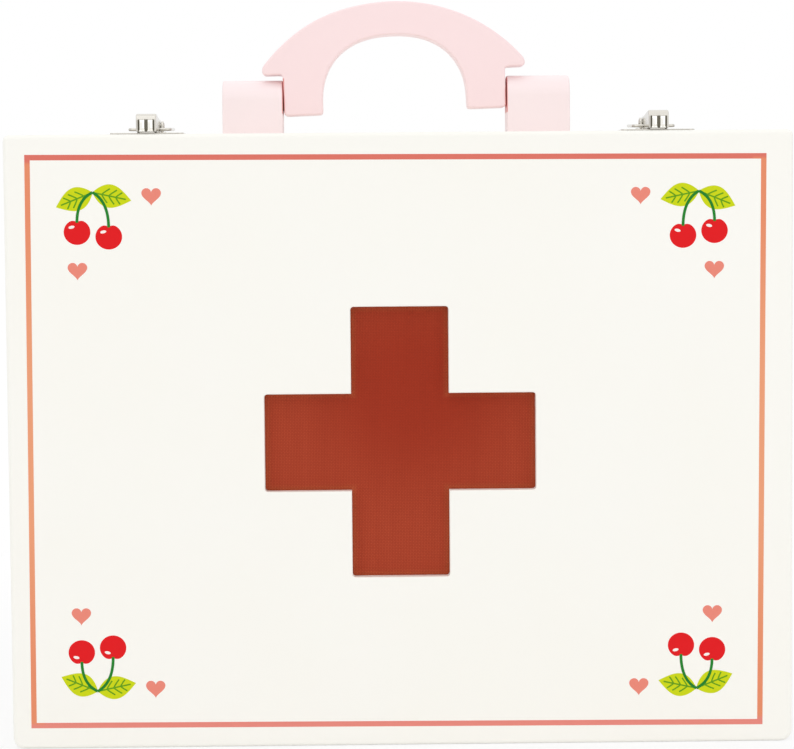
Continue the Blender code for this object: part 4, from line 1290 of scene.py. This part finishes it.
@dataclass
class Handle:
    """Two posts with half-round tops, and the arched grip that swings between them on two dowels."""

    lean_deg: float = 1.95
    leg_span: float = 74.8 * MM
    span: float = 88.5 * MM
    crown: float = 32.45 * MM
    crown_depth: float = 11.1 * MM
    arch_span: float = 48.6 * MM
    fullness: float = 2.3
    leg_drop: float = 4.4 * MM
    leg_straight: float = 3.4 * MM
    wing_rise: float = 9.5 * MM
    tip_depth: float = 2.3 * MM
    grip_edge: float = 0.7 * MM
    softness: float = 0.85 * MM
    shoulder: float = 0.62 * MM
    shoulder_place: float = -28 * MM
    shoulder_reach: float = 15 * MM
    right_droop: float = 0.35 * MM
    droop_power: int = 6
    spacing: float = 0.3 * MM
    post_edge: float = 0.55 * MM
    bore: float = 2.8 * MM
    bore_play: float = 0.3 * MM
    arch_steps: int = 161
    grip_edge_steps: int = 7
    post_edge_steps: int = 6

    def axis(self) -> Matrix:
        """The grip's frame: its origin on the joint's axis, leaning as the axis does."""
        joint = next(joint for joint in frame["joints"] if joint["child"] == "grip")
        return Matrix.Translation(joint["pos_m"]) @ Matrix.Rotation(-math.radians(self.lean_deg), 4, "Y")

    def grip_outline(self) -> Array:
        """One arc over both wing tips and the crown; inside, a superellipse on short straight legs.

        The superellipse is (cos^(2/n), sin^(2/n)) of the turn, times half the arch's span and its rise. The
        board is sawn by hand: a bell curve fills out its left shoulder, and its right wing droops by a power.

        Returns:
            The outline about the axis.
        """
        half, leg, arch = self.span / 2, self.leg_span / 2, self.arch_span / 2
        rise = self.crown - self.wing_rise - self.tip_depth
        radius = (rise**2 + half**2) / (2 * rise)
        reach = math.degrees(math.asin(half / radius))
        over = arc((0, self.crown - radius), radius, 90 - reach, 90 + reach, steps=120)
        off = (over[:, 0] - self.shoulder_place) / self.shoulder_reach
        droop = self.right_droop * np.clip(over[:, 0] / half, 0, 1) ** self.droop_power
        over[:, 1] += self.shoulder * np.exp(-(off**2)) - droop
        turn = np.linspace(0, np.pi, self.arch_steps)
        spring = self.leg_straight - self.leg_drop
        across = np.sign(np.cos(turn)) * np.abs(np.cos(turn)) ** (2 / self.fullness)
        up = np.abs(np.sin(turn)) ** (2 / self.fullness)
        under = np.stack([-arch * across, spring + (self.crown - self.crown_depth - spring) * up], axis=-1)
        right_rise = self.wing_rise - self.right_droop
        right = [(leg, -self.leg_drop), (leg, right_rise), (half, right_rise)]
        left = [(-half, self.wing_rise), (-leg, self.wing_rise), (-leg, -self.leg_drop)]
        feet = [[(side * arch, -self.leg_drop)] for side in (-1, 1)]
        rough = np.concatenate([right, over, left, feet[0], under, feet[1]])
        return softened(rough, self.spacing, self.softness)

    def build(self) -> None:
        """Two posts with half-round tops and blind bores for the dowels, and the grip with rounded edges."""
        left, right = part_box("left_grip_dowel")[0].x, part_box("right_grip_dowel")[1].x
        bore = placed(rod(self.bore, (left - self.bore_play, right + self.bore_play)), self.axis())
        for hand in Hand:
            node = f"{hand.value}_post"
            low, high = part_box(node)
            half = (high.y - low.y) / 2
            top = arc(((low.y + high.y) / 2, high.z - half), half, 0, 180, steps=40)
            outline = np.concatenate([[(low.y, low.z), (high.y, low.z)], top])
            block = rounded_slab(outline, (low.x, high.x), self.post_edge, Plane.YZ, self.post_edge_steps)
            piece(f"{node}_block", block, PALE_PINK_LACQUER, "base", [node], [bore])
        low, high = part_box("grip")
        ends = ((low.y - high.y) / 2, (high.y - low.y) / 2)
        board = rounded_slab(self.grip_outline(), ends, self.grip_edge, Plane.XZ, self.grip_edge_steps)
        piece("grip_board", placed(board, self.axis()), PINK_LACQUER, "grip", ["grip"])
        CARRIED.dress(["left_grip_dowel", "right_grip_dowel"], BEECH)


# Screws


@dataclass(frozen=True, kw_only=True)
class ScrewKind:
    """A countersunk screw with a cross drive, in the place of each CAD screw of its kind.

    The drive's floor is a share of its mouth, its corners' radius is one of half its width, and the head's
    upright rim is one of the head's depth.
    """

    head_radius: float
    head_depth: float
    shank_radius: float
    length: float
    tip: float
    slot_span: float
    slot_width: float
    slot_depth: float
    slot_corner_share: float = 0.25
    floor_share: float = 0.6
    rim_share: float = 0.125
    steps: int = 32
    near_turn: float = 0.02
    spin: float = 0.7

    def surface(self) -> Surface:
        """A closed polar grid: up out of the cross, over the head, and down the cone, the shank and the tip.

        Each ring is a reach at every turn: the plus sign's in the drive, and a circle's outside it.

        Returns:
            The screw, driven along +Z, with its head's top at the origin.
        """
        half, arm = self.slot_span / 2, self.slot_width / 2
        turns = turns_through([(half, arm), (arm, half), (arm, arm)], self.steps, self.near_turn)
        plus = plus_reach(turns, half, arm, arm * self.slot_corner_share)
        rim = self.head_depth * self.rim_share
        rings = [
            (0.0, self.slot_depth),
            (self.floor_share * plus, self.slot_depth),
            (plus, 0.0),
            (self.head_radius - rim, 0.0),
            (self.head_radius, rim),
            (self.shank_radius, self.head_depth),
            (self.shank_radius, self.length - self.tip),
            (0.0, self.length),
        ]
        reach = np.stack([np.broadcast_to(ring, turns.shape) for ring, _ in rings])
        depth = np.array([height for _, height in rings])[:, None]
        return skin(Plane.XY.place(reach * np.cos(turns), reach * np.sin(turns), depth))

    def build(self, stem: str, way: Vector, body: str, sink: float = 0.0) -> None:
        """Build one screw for each CAD screw, each turned differently.

        Args:
            stem: How the nodes' names start.
            way: The direction in which the screws are driven.
            body: The body that holds them.
            sink: How much deeper than the CAD's their heads lie.
        """
        turn = Vector((0, 0, 1)).rotation_difference(way).to_matrix().to_4x4()
        for name in sorted(name for name in frame["nodes"] if name.startswith(stem)):
            low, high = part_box(name)
            spin = Matrix.Rotation(self.spin * (ord(name[-1]) + len(name)), 4, "Z")
            head = (low + high) / 2 + way * (sink - abs((high - low).dot(way)) / 2)
            place = Matrix.Translation(head) @ turn @ spin
            piece(f"{name}_driven", placed(self.surface(), place), ZINC, body, [name])


POST_SCREW = ScrewKind(
    head_radius=3.1 * MM,
    head_depth=1.9 * MM,
    shank_radius=1.5 * MM,
    length=14.7 * MM,
    tip=2.2 * MM,
    slot_span=3.4 * MM,
    slot_width=0.9 * MM,
    slot_depth=1.3 * MM,
)
LATCH_SCREW = ScrewKind(
    head_radius=1.5 * MM,
    head_depth=0.7 * MM,
    shank_radius=0.8 * MM,
    length=5.5 * MM,
    tip=1.4 * MM,
    slot_span=1.9 * MM,
    slot_width=0.5 * MM,
    slot_depth=0.6 * MM,
)
HINGE_SCREW = ScrewKind(
    head_radius=1.4 * MM,
    head_depth=0.7 * MM,
    shank_radius=0.7 * MM,
    length=6.5 * MM,
    tip=1.2 * MM,
    slot_span=1.8 * MM,
    slot_width=0.5 * MM,
    slot_depth=0.6 * MM,
)


# The latches


@dataclass
class ToggleLatch:
    """A toggle latch: a slotted plate with two ears, a fluted lever on a rivet, a wire loop and a catch."""

    hand: Hand
    sheet: float = 0.5 * MM
    seat: float = 0.28 * MM
    sink: float = 0.48 * MM
    plate_corner: float = 2.0 * MM
    plate_edge: float = 0.18 * MM
    hole_room: float = 0.15 * MM
    hole_rise: float = 0.4 * MM
    hole_depth: float = 1.0 * MM
    slot_half: float = 3.37 * MM
    slot_rear: float = 2.2 * MM
    slot_front: float = 15.8 * MM
    slot_corner: float = 0.4 * MM
    slot_overrun: float = 1.0 * MM
    ear: float = 0.8 * MM
    ear_radius: float = 1.45 * MM
    ear_edge: float = 0.15 * MM
    heel: float = 1.9 * MM
    belly: float = 2.6 * MM
    belly_end: float = 15.5 * MM
    reach: float = 19.0 * MM
    nose_top: float = 3.3 * MM
    nose_radius: float = 2.0 * MM
    nose_drop: float = 2.4 * MM
    half_width: float = 3.2 * MM
    lever_sheet: float = 0.8 * MM
    lever_edge: float = 0.35 * MM
    lever_softness: float = 0.12 * MM
    hollow_rear: float = 2.0 * MM
    hollow_drop: float = 6.0 * MM
    flute_spacing: float = 1.32 * MM
    flute_half: float = 0.90 * MM
    flute_proud: float = 0.3 * MM
    field_half: float = 2.6 * MM
    field_depth: float = 0.4 * MM
    field_slope: float = 0.2 * MM
    nose_steps: int = 81
    edge_steps: int = 6
    pin: float = 0.8 * MM
    bore_room: float = 0.2 * MM
    bore_half: float = 8.0 * MM
    rivet_head: float = 1.0 * MM
    rivet_dome: float = 0.25 * MM
    rivet_gap: float = 0.03 * MM
    wire: float = 0.5 * MM
    wire_gap: float = 0.3 * MM
    loop_half: float = 7.0 * MM
    loop_reach: float = 18.0 * MM
    loop_rise: float = 0.5 * MM
    loop_corner: float = 1.6 * MM
    hook_half: float = 4.0 * MM
    hook_front: float = 2.1 * MM
    hook_depth: float = 2.8 * MM
    hook_rounding: float = 1.0 * MM
    hook_edge: float = 0.12 * MM

    def pivot(self, joint_name: str) -> Vector:
        """Where one of this latch's joints is."""
        name = f"{self.hand.value}_{joint_name}"
        return Vector(next(joint["pos_m"] for joint in frame["joints"] if joint["name"] == name))

    def top_and_nose(self, sheet: float, steps: int) -> list[Array]:
        """The lever's line about its pin, seen along X: a half cosine from heel to nose, and the nose's arc.

        Args:
            sheet: How far inside the lever's skin the line runs.
            steps: Stretches in the nose.

        Returns:
            The two stretches.
        """
        forward = np.linspace(0, self.reach - 2 * self.nose_radius, num=40)
        height = self.heel + (self.nose_top - self.heel) * (1 - np.cos(np.pi * forward / self.reach)) / 2
        middle = (self.nose_radius - self.reach, self.nose_top - self.nose_radius)
        top = np.stack([-forward, height - sheet], axis=-1)
        return [top, arc(middle, self.nose_radius - sheet, 90, 180, steps)]

    def lever_outline(self) -> Array:
        """The lever seen along X, about its pin: heel, top, nose and belly.

        Returns:
            The outline.
        """
        top, nose = self.top_and_nose(0.0, steps=16)
        under = [
            (-self.reach, -self.nose_drop),
            (-self.belly_end, -self.nose_drop),
            (-self.belly_end + self.belly - self.nose_drop, -self.belly),
            (-self.heel, -self.belly),
        ]
        rough = np.concatenate([arc((0, 0), self.heel, -60, 90, steps=20), top[1:], nose, under])
        return softened(rough, self.lever_softness, self.lever_softness)

    def lever(self) -> Surface:
        """The lever's slab, with two flutes that stand in a sunk field on the front of its nose.

        Across the width w a flute stands out by the square root of 1 - ((|w| - its place) / its half)^2. The
        field ends short of the cheeks, the rounded top and the lower edge, and the flutes fade out there.

        Returns:
            The lever about its pin.
        """
        edge = self.lever_edge
        near_in, near = quarter(edge, self.edge_steps)
        flat = np.linspace(edge - self.half_width, self.half_width - edge, self.nose_steps)[1:-1]
        draw_in = np.concatenate([near_in, 0 * flat, near_in[::-1]])[:, None, None]
        width = np.concatenate([near - self.half_width, flat, self.half_width - near[::-1]])[:, None]
        forward, height = np.moveaxis(inset(self.lever_outline(), draw_in), -1, 0)
        out = np.abs(width)
        flute = np.sqrt(np.clip(1 - ((out - self.flute_spacing) / self.flute_half) ** 2, 0, 1))
        low, high = edge - self.nose_drop, self.nose_top - self.nose_radius + self.field_slope
        room = np.minimum(height - low, high - height)
        field = np.clip(np.minimum(room, self.field_half - out) / self.field_slope, 0, 1)
        fade = np.sqrt(1 - (1 - np.clip(room / self.flute_half, 0, 1)) ** 2)
        sunk = self.field_depth * field - (self.field_depth + self.flute_proud) * flute * fade
        return skin(Plane.YZ.place(forward + np.where(forward < edge - self.reach, sunk, 0), height, width))

    def lever_hollow(self) -> Surface:
        """The inside of the lever, open below and behind.

        Returns:
            The closed hollow about the pin.
        """
        rear, front = self.heel + self.hollow_rear, self.lever_sheet - self.reach
        behind = [(rear, -self.hollow_drop), (rear, self.heel - self.lever_sheet)]
        outline = [behind, *self.top_and_nose(self.lever_sheet, steps=12), [(front, -self.hollow_drop)]]
        half = self.half_width - self.lever_sheet
        return drawn_out(np.concatenate(outline), (-half, half), Plane.YZ)

    def plate(self, node: str) -> Surface:
        """A plate with rounded corners, in the place of a CAD plate and down on the rail.

        Args:
            node: The CAD plate's name.

        Returns:
            The closed plate.
        """
        low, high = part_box(node)
        outline = rounded_rectangle((low.x, low.y), (high.x, high.y), self.plate_corner)
        bottom = low.z - self.seat
        return rounded_slab(outline, (bottom, bottom + self.sheet), self.plate_edge, Plane.XY)

    def screw_holes(self, stem: str) -> list[Surface]:
        """A cone-shaped hole for each screw of a plate, a little wider than the screw.

        Args:
            stem: What the screws' names hold after the side.

        Returns:
            The closed holes.
        """
        head, shank = LATCH_SCREW.head_radius + self.hole_room, LATCH_SCREW.shank_radius + self.hole_room
        rise, depth = self.hole_rise, self.hole_depth
        cone = [(head, rise), (head, 0), (shank, -LATCH_SCREW.head_depth), (shank, -depth)]
        hole = turned([(0, rise), *cone, (0, -depth)], sides=32)
        made = []
        for name in sorted(frame["nodes"]):
            if name.startswith(f"{self.hand.value}_{stem}_screw"):
                low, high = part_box(name)
                top = ((low.x + high.x) / 2, (low.y + high.y) / 2, high.z - self.sink)
                made.append(placed(hole, Matrix.Translation(top)))
        return made

    def build_base(self) -> None:
        """The plate on the lid, with its ears bent up on both sides of the slot."""
        pin = self.pivot("lever_hinge")
        place = Matrix.Translation(pin)
        node = f"{self.hand.value}_latch_base"
        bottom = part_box(node)[0].z
        low = (pin.x - self.slot_half, pin.y - self.slot_front)
        high = (pin.x + self.slot_half, pin.y + self.slot_rear)
        slot = rounded_rectangle(low, high, self.slot_corner)
        window = drawn_out(slot, (bottom - self.slot_overrun, pin.z), Plane.XY)
        foot = bottom - self.seat + self.sheet / 2 - pin.z
        top = arc((0, 0), self.ear_radius, 0, 180, steps=24)
        ear = np.concatenate([[(-self.heel, foot), (self.heel, foot)], top])
        near, far = self.slot_half, self.slot_half + self.ear
        slabs = [rounded_slab(ear, ends, self.ear_edge, Plane.YZ) for ends in ((-far, -near), (near, far))]
        ears = [placed(slab, place) for slab in slabs]
        bore = rod(self.pin + self.bore_room, (-self.bore_half, self.bore_half))
        cuts = [window, placed(bore, place), *self.screw_holes("latch_base")]
        name = f"{self.hand.value}_ear_plate"
        piece(name, self.plate(node), NICKEL, "lid", [node], cuts, ears)

    def build_rivet(self) -> None:
        """The lever's pin through both ears, with a domed head at each end."""
        head = self.slot_half + self.ear + self.rivet_gap
        turn = np.linspace(0, np.pi / 2, self.edge_steps)
        cap = [(self.rivet_head * math.cos(t), head + self.rivet_dome * math.sin(t)) for t in turn]
        half = [(self.pin, head), *cap]
        profile = [(radius, -height) for radius, height in reversed(half)] + half
        place = Matrix.Translation(self.pivot("lever_hinge")) @ Matrix.Rotation(math.pi / 2, 4, "Y")
        rivet, hand = placed(turned(profile, sides=24), place), self.hand.value
        piece(f"{hand}_lever_rivet", rivet, NICKEL, "lid", [f"{hand}_lever_pin"])

    def build_lever(self) -> None:
        """The lever, hollow below, with bores for its rivet and for the loop's ends."""
        pin = self.pivot("lever_hinge")
        loop = self.pivot("loop_hinge") - pin
        place = Matrix.Translation(pin)
        ends = (-self.bore_half, self.bore_half)
        bores = [
            rod(self.pin + self.bore_room, ends),
            rod(self.wire + self.bore_room, ends, (loop.y, loop.z)),
        ]
        cuts = [placed(cut, place) for cut in (self.lever_hollow(), *bores)]
        hand = self.hand.value
        finish = FlutedPlating(
            f"fluted_nickel_{hand}",
            NICKEL.colour,
            NICKEL.second,
            NICKEL.roughness,
            uneven=NICKEL.uneven,
            middle=pin.x,
            front=pin.y - self.reach,
            band_bottom=pin.z + self.nose_top - self.nose_radius,
            spacing=self.flute_spacing,
            flute_half=self.flute_half,
            field_half=self.field_half,
        )
        lever, name = placed(self.lever(), place), f"{hand}_lever"
        piece(name, lever, finish, name, [f"{hand}_latch_lever"], cuts)

    def build_loop(self) -> None:
        """One bent wire from inside one cheek, round over the hook, and back into the other cheek."""
        half, corner = self.loop_half - self.wire, self.loop_corner
        end = self.half_width - self.lever_sheet - self.wire_gap
        run = np.linspace(end, half - corner, num=8)[:-1]
        straight = np.stack([run, 0 * run], axis=-1)
        first = arc((half - corner, corner), corner, -90, 0, steps=12)
        second = arc((half - corner, self.loop_reach - corner), corner, 0, 90, steps=12)
        right = np.concatenate([straight, first, second])
        across, along = np.concatenate([right, right[::-1] * np.array([-1, 1])]).T
        slope = self.loop_rise / self.loop_reach
        path = np.stack([across, along, along * slope], axis=-1)
        wire = placed(tube(path, self.wire, (0, -slope, 1)), Matrix.Translation(self.pivot("loop_hinge")))
        hand = self.hand.value
        piece(f"{hand}_wire_loop", wire, NICKEL, f"{hand}_loop", [f"{hand}_latch_loop"])

    def build_catch(self) -> None:
        """The plate on the base, with a rounded bar pressed up out of it for the loop to hold."""
        node = f"{self.hand.value}_catch_plate"
        low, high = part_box(node)
        pin = self.pivot("loop_hinge")
        front = pin.y + self.loop_reach - self.hook_front
        rear, rounding = front + self.hook_depth, self.hook_rounding
        foot = low.z - self.seat + self.sheet / 2
        rear_top = arc((rear - rounding, high.z - rounding), rounding, 0, 90, steps=10)
        front_top = arc((front + rounding, high.z - rounding), rounding, 90, 180, steps=10)
        outline = np.concatenate([[(front, foot), (rear, foot)], rear_top, front_top])
        ends = (pin.x - self.hook_half, pin.x + self.hook_half)
        bar = rounded_slab(outline, ends, self.hook_edge, Plane.YZ)
        name, holes = f"{self.hand.value}_hook_plate", self.screw_holes("catch")
        piece(name, self.plate(node), NICKEL, "base", [node], holes, [bar])

    def build(self) -> None:
        """Build every piece of the latch."""
        self.build_base()
        self.build_rivet()
        self.build_lever()
        self.build_loop()
        self.build_catch()
        for stem, body in (("latch_base", "lid"), ("catch", "base")):
            LATCH_SCREW.build(f"{self.hand.value}_{stem}_screw", Vector((0, 0, -1)), body, self.sink)


# The shells and hinges


@dataclass
class Shells:
    """The boards' rails, and the butt hinges let into the two bottom ones."""

    rail_ease: float = 0.25 * MM
    leaf_ease: float = 0.12 * MM

    def build(self) -> None:
        """Dress the rails and the hinges, and drive the hinges' and the posts' screws."""
        sides = ("bottom", "top", "left", "right")
        rails = [f"{shell}_{side}_rail" for shell in ("lid", "base") for side in sides]
        CARRIED.dress(rails, WHITE_LACQUER, self.rail_ease)
        for hand in (hand.value for hand in Hand):
            leaves = [f"{hand}_hinge_base_leaf", f"{hand}_hinge_lid_leaf"]
            CARRIED.dress(leaves, NICKEL, self.leaf_ease)
            CARRIED.dress([f"{hand}_hinge_pin"], ZINC)
            HINGE_SCREW.build(f"{hand}_hinge_base_screw", Vector((0, 1, 0)), "base")
            HINGE_SCREW.build(f"{hand}_hinge_lid_screw", Vector((0, -1, 0)), "lid")
            POST_SCREW.build(f"{hand}_post_screw", Vector((0, 0, 1)), "base")


# The studio


@dataclass
class Lamp:
    """A soft square white lamp that looks at the case."""

    name: str
    place: Triple
    size: float
    power: float
    aim: Triple = (0.0, 0.0, 0.1)

    def build(self) -> None:
        """Make the lamp and turn it to the middle of the case."""
        light = bpy.data.lights.new(self.name, "AREA")
        light.size = self.size
        light.energy = self.power
        made = bpy.data.objects.new(self.name, light)
        made.location = self.place
        made.rotation_euler = (Vector(self.aim) - Vector(self.place)).to_track_quat("-Z", "Y").to_euler()
        bpy.context.scene.collection.objects.link(made)


@dataclass
class Studio:
    """A plain white floor under a white sky, and three soft lamps."""

    floor_reach: float = 12.0
    sky: float = 0.647
    shade_share: float = 0.25
    shade_reach: Pair = (0.15, 0.45)
    lamps: tuple[Lamp, ...] = (
        Lamp("key_lamp", (-1.3, -1.8, 1.9), 3.4, 18.8),
        Lamp("fill_lamp", (1.6, -1.7, 0.9), 3.0, 12.0),
        Lamp("top_lamp", (0.0, 0.4, 2.2), 3.4, 14.05),
    )

    @staticmethod
    def seen(tree: Tree) -> Node:
        """One where a camera, glossy or transmission ray looks, and zero for light that falls on things.

        Args:
            tree: The node tree.

        Returns:
            The last node.
        """
        path = add_node(tree, "ShaderNodeLightPath").outputs
        looks = path["Is Camera Ray"]
        for ray in ("Is Glossy Ray", "Is Transmission Ray"):
            looks = add_node(tree, "ShaderNodeMath", {0: looks, 1: path[ray]}, operation="MAXIMUM")
        return looks

    def floor_shader(self, tree: Tree) -> Node:
        """White paper: matt where it lights the case, and mostly its own white where it is looked at.

        Its shadows show near the case and fade out into the plain white farther off.

        Args:
            tree: The material's node tree.

        Returns:
            The shader.
        """
        matt = add_node(tree, "ShaderNodeBsdfDiffuse", {"Color": "#fafafa"})
        glow = add_node(tree, "ShaderNodeEmission", {"Color": "#ffffff", "Strength": 1.0})
        place = add_node(tree, "ShaderNodeTexCoord").outputs["Object"]
        away = add_node(tree, "ShaderNodeVectorMath", {0: place}, operation="LENGTH")
        near, far = self.shade_reach
        span = {"Value": away, "From Min": near, "From Max": far, "To Min": self.shade_share, "To Max": 0.0}
        share = add_node(tree, "ShaderNodeMapRange", span, interpolation_type="SMOOTHSTEP")
        shaded = add_node(tree, "ShaderNodeMixShader", {0: share, 1: glow, 2: matt})
        return add_node(tree, "ShaderNodeMixShader", {0: self.seen(tree), 1: matt, 2: shaded})

    def build(self) -> None:
        """Lay the floor, light the sky and hang the lamps."""
        reach = self.floor_reach
        mesh = bpy.data.meshes.new("floor")
        corners = [(-reach, -reach, 0), (reach, -reach, 0), (reach, reach, 0), (-reach, reach, 0)]
        mesh.from_pydata(corners, [], [(0, 1, 2, 3)])
        mesh.materials.append(new_material("white_studio_paper", self.floor_shader))
        floor = bpy.data.objects.new("floor", mesh)
        bpy.context.scene.collection.objects.link(floor)
        world = bpy.data.worlds.new("white_sky")
        world.use_nodes = True
        tree = world.node_tree
        tree.nodes.clear()
        strength = add_node(tree, "ShaderNodeMix", {"Factor": self.seen(tree), "A": self.sky, "B": 1.0})
        sky = add_node(tree, "ShaderNodeBackground", {"Color": "#ffffff", "Strength": strength})
        add_node(tree, "ShaderNodeOutputWorld", {"Surface": sky})
        bpy.context.scene.world = world
        for lamp in self.lamps:
            lamp.build()
        bpy.context.scene.view_settings.view_transform = "Standard"


@dataclass
class PictureCamera:
    """The camera at the photograph's viewing angle."""

    place: Triple = (-0.0119, -0.844, 0.1741)
    down_deg: float = 3.918
    right_deg: float = 0.770
    roll_deg: float = 0.460
    lens: float = 114.44

    def build(self) -> None:
        """Make the camera: it is turned down, then right, then rolled about its line of sight."""
        data = bpy.data.cameras.new("picture_camera")
        data.lens = self.lens
        made = bpy.data.objects.new("picture_camera", data)
        yaw = Matrix.Rotation(-math.radians(self.right_deg), 4, "Z")
        pitch = Matrix.Rotation(math.radians(90 - self.down_deg), 4, "X")
        roll = Matrix.Rotation(-math.radians(self.roll_deg), 4, "Z")
        made.matrix_world = Matrix.Translation(self.place) @ yaw @ pitch @ roll
        bpy.context.scene.collection.objects.link(made)
        bpy.context.scene.camera = made


def main() -> None:
    """Build the sub-assemblies in order, then the studio and the camera."""
    logging.basicConfig(level=logging.INFO, format="%(message)s")
    for assembly in (FrontBoard(), Print(), WindowCloth(), BackBoard(), Shells(), Handle()):
        assembly.build()
    for hand in Hand:
        ToggleLatch(hand).build()
    Studio().build()
    PictureCamera().build()


if __name__ == "__main__":
    main()
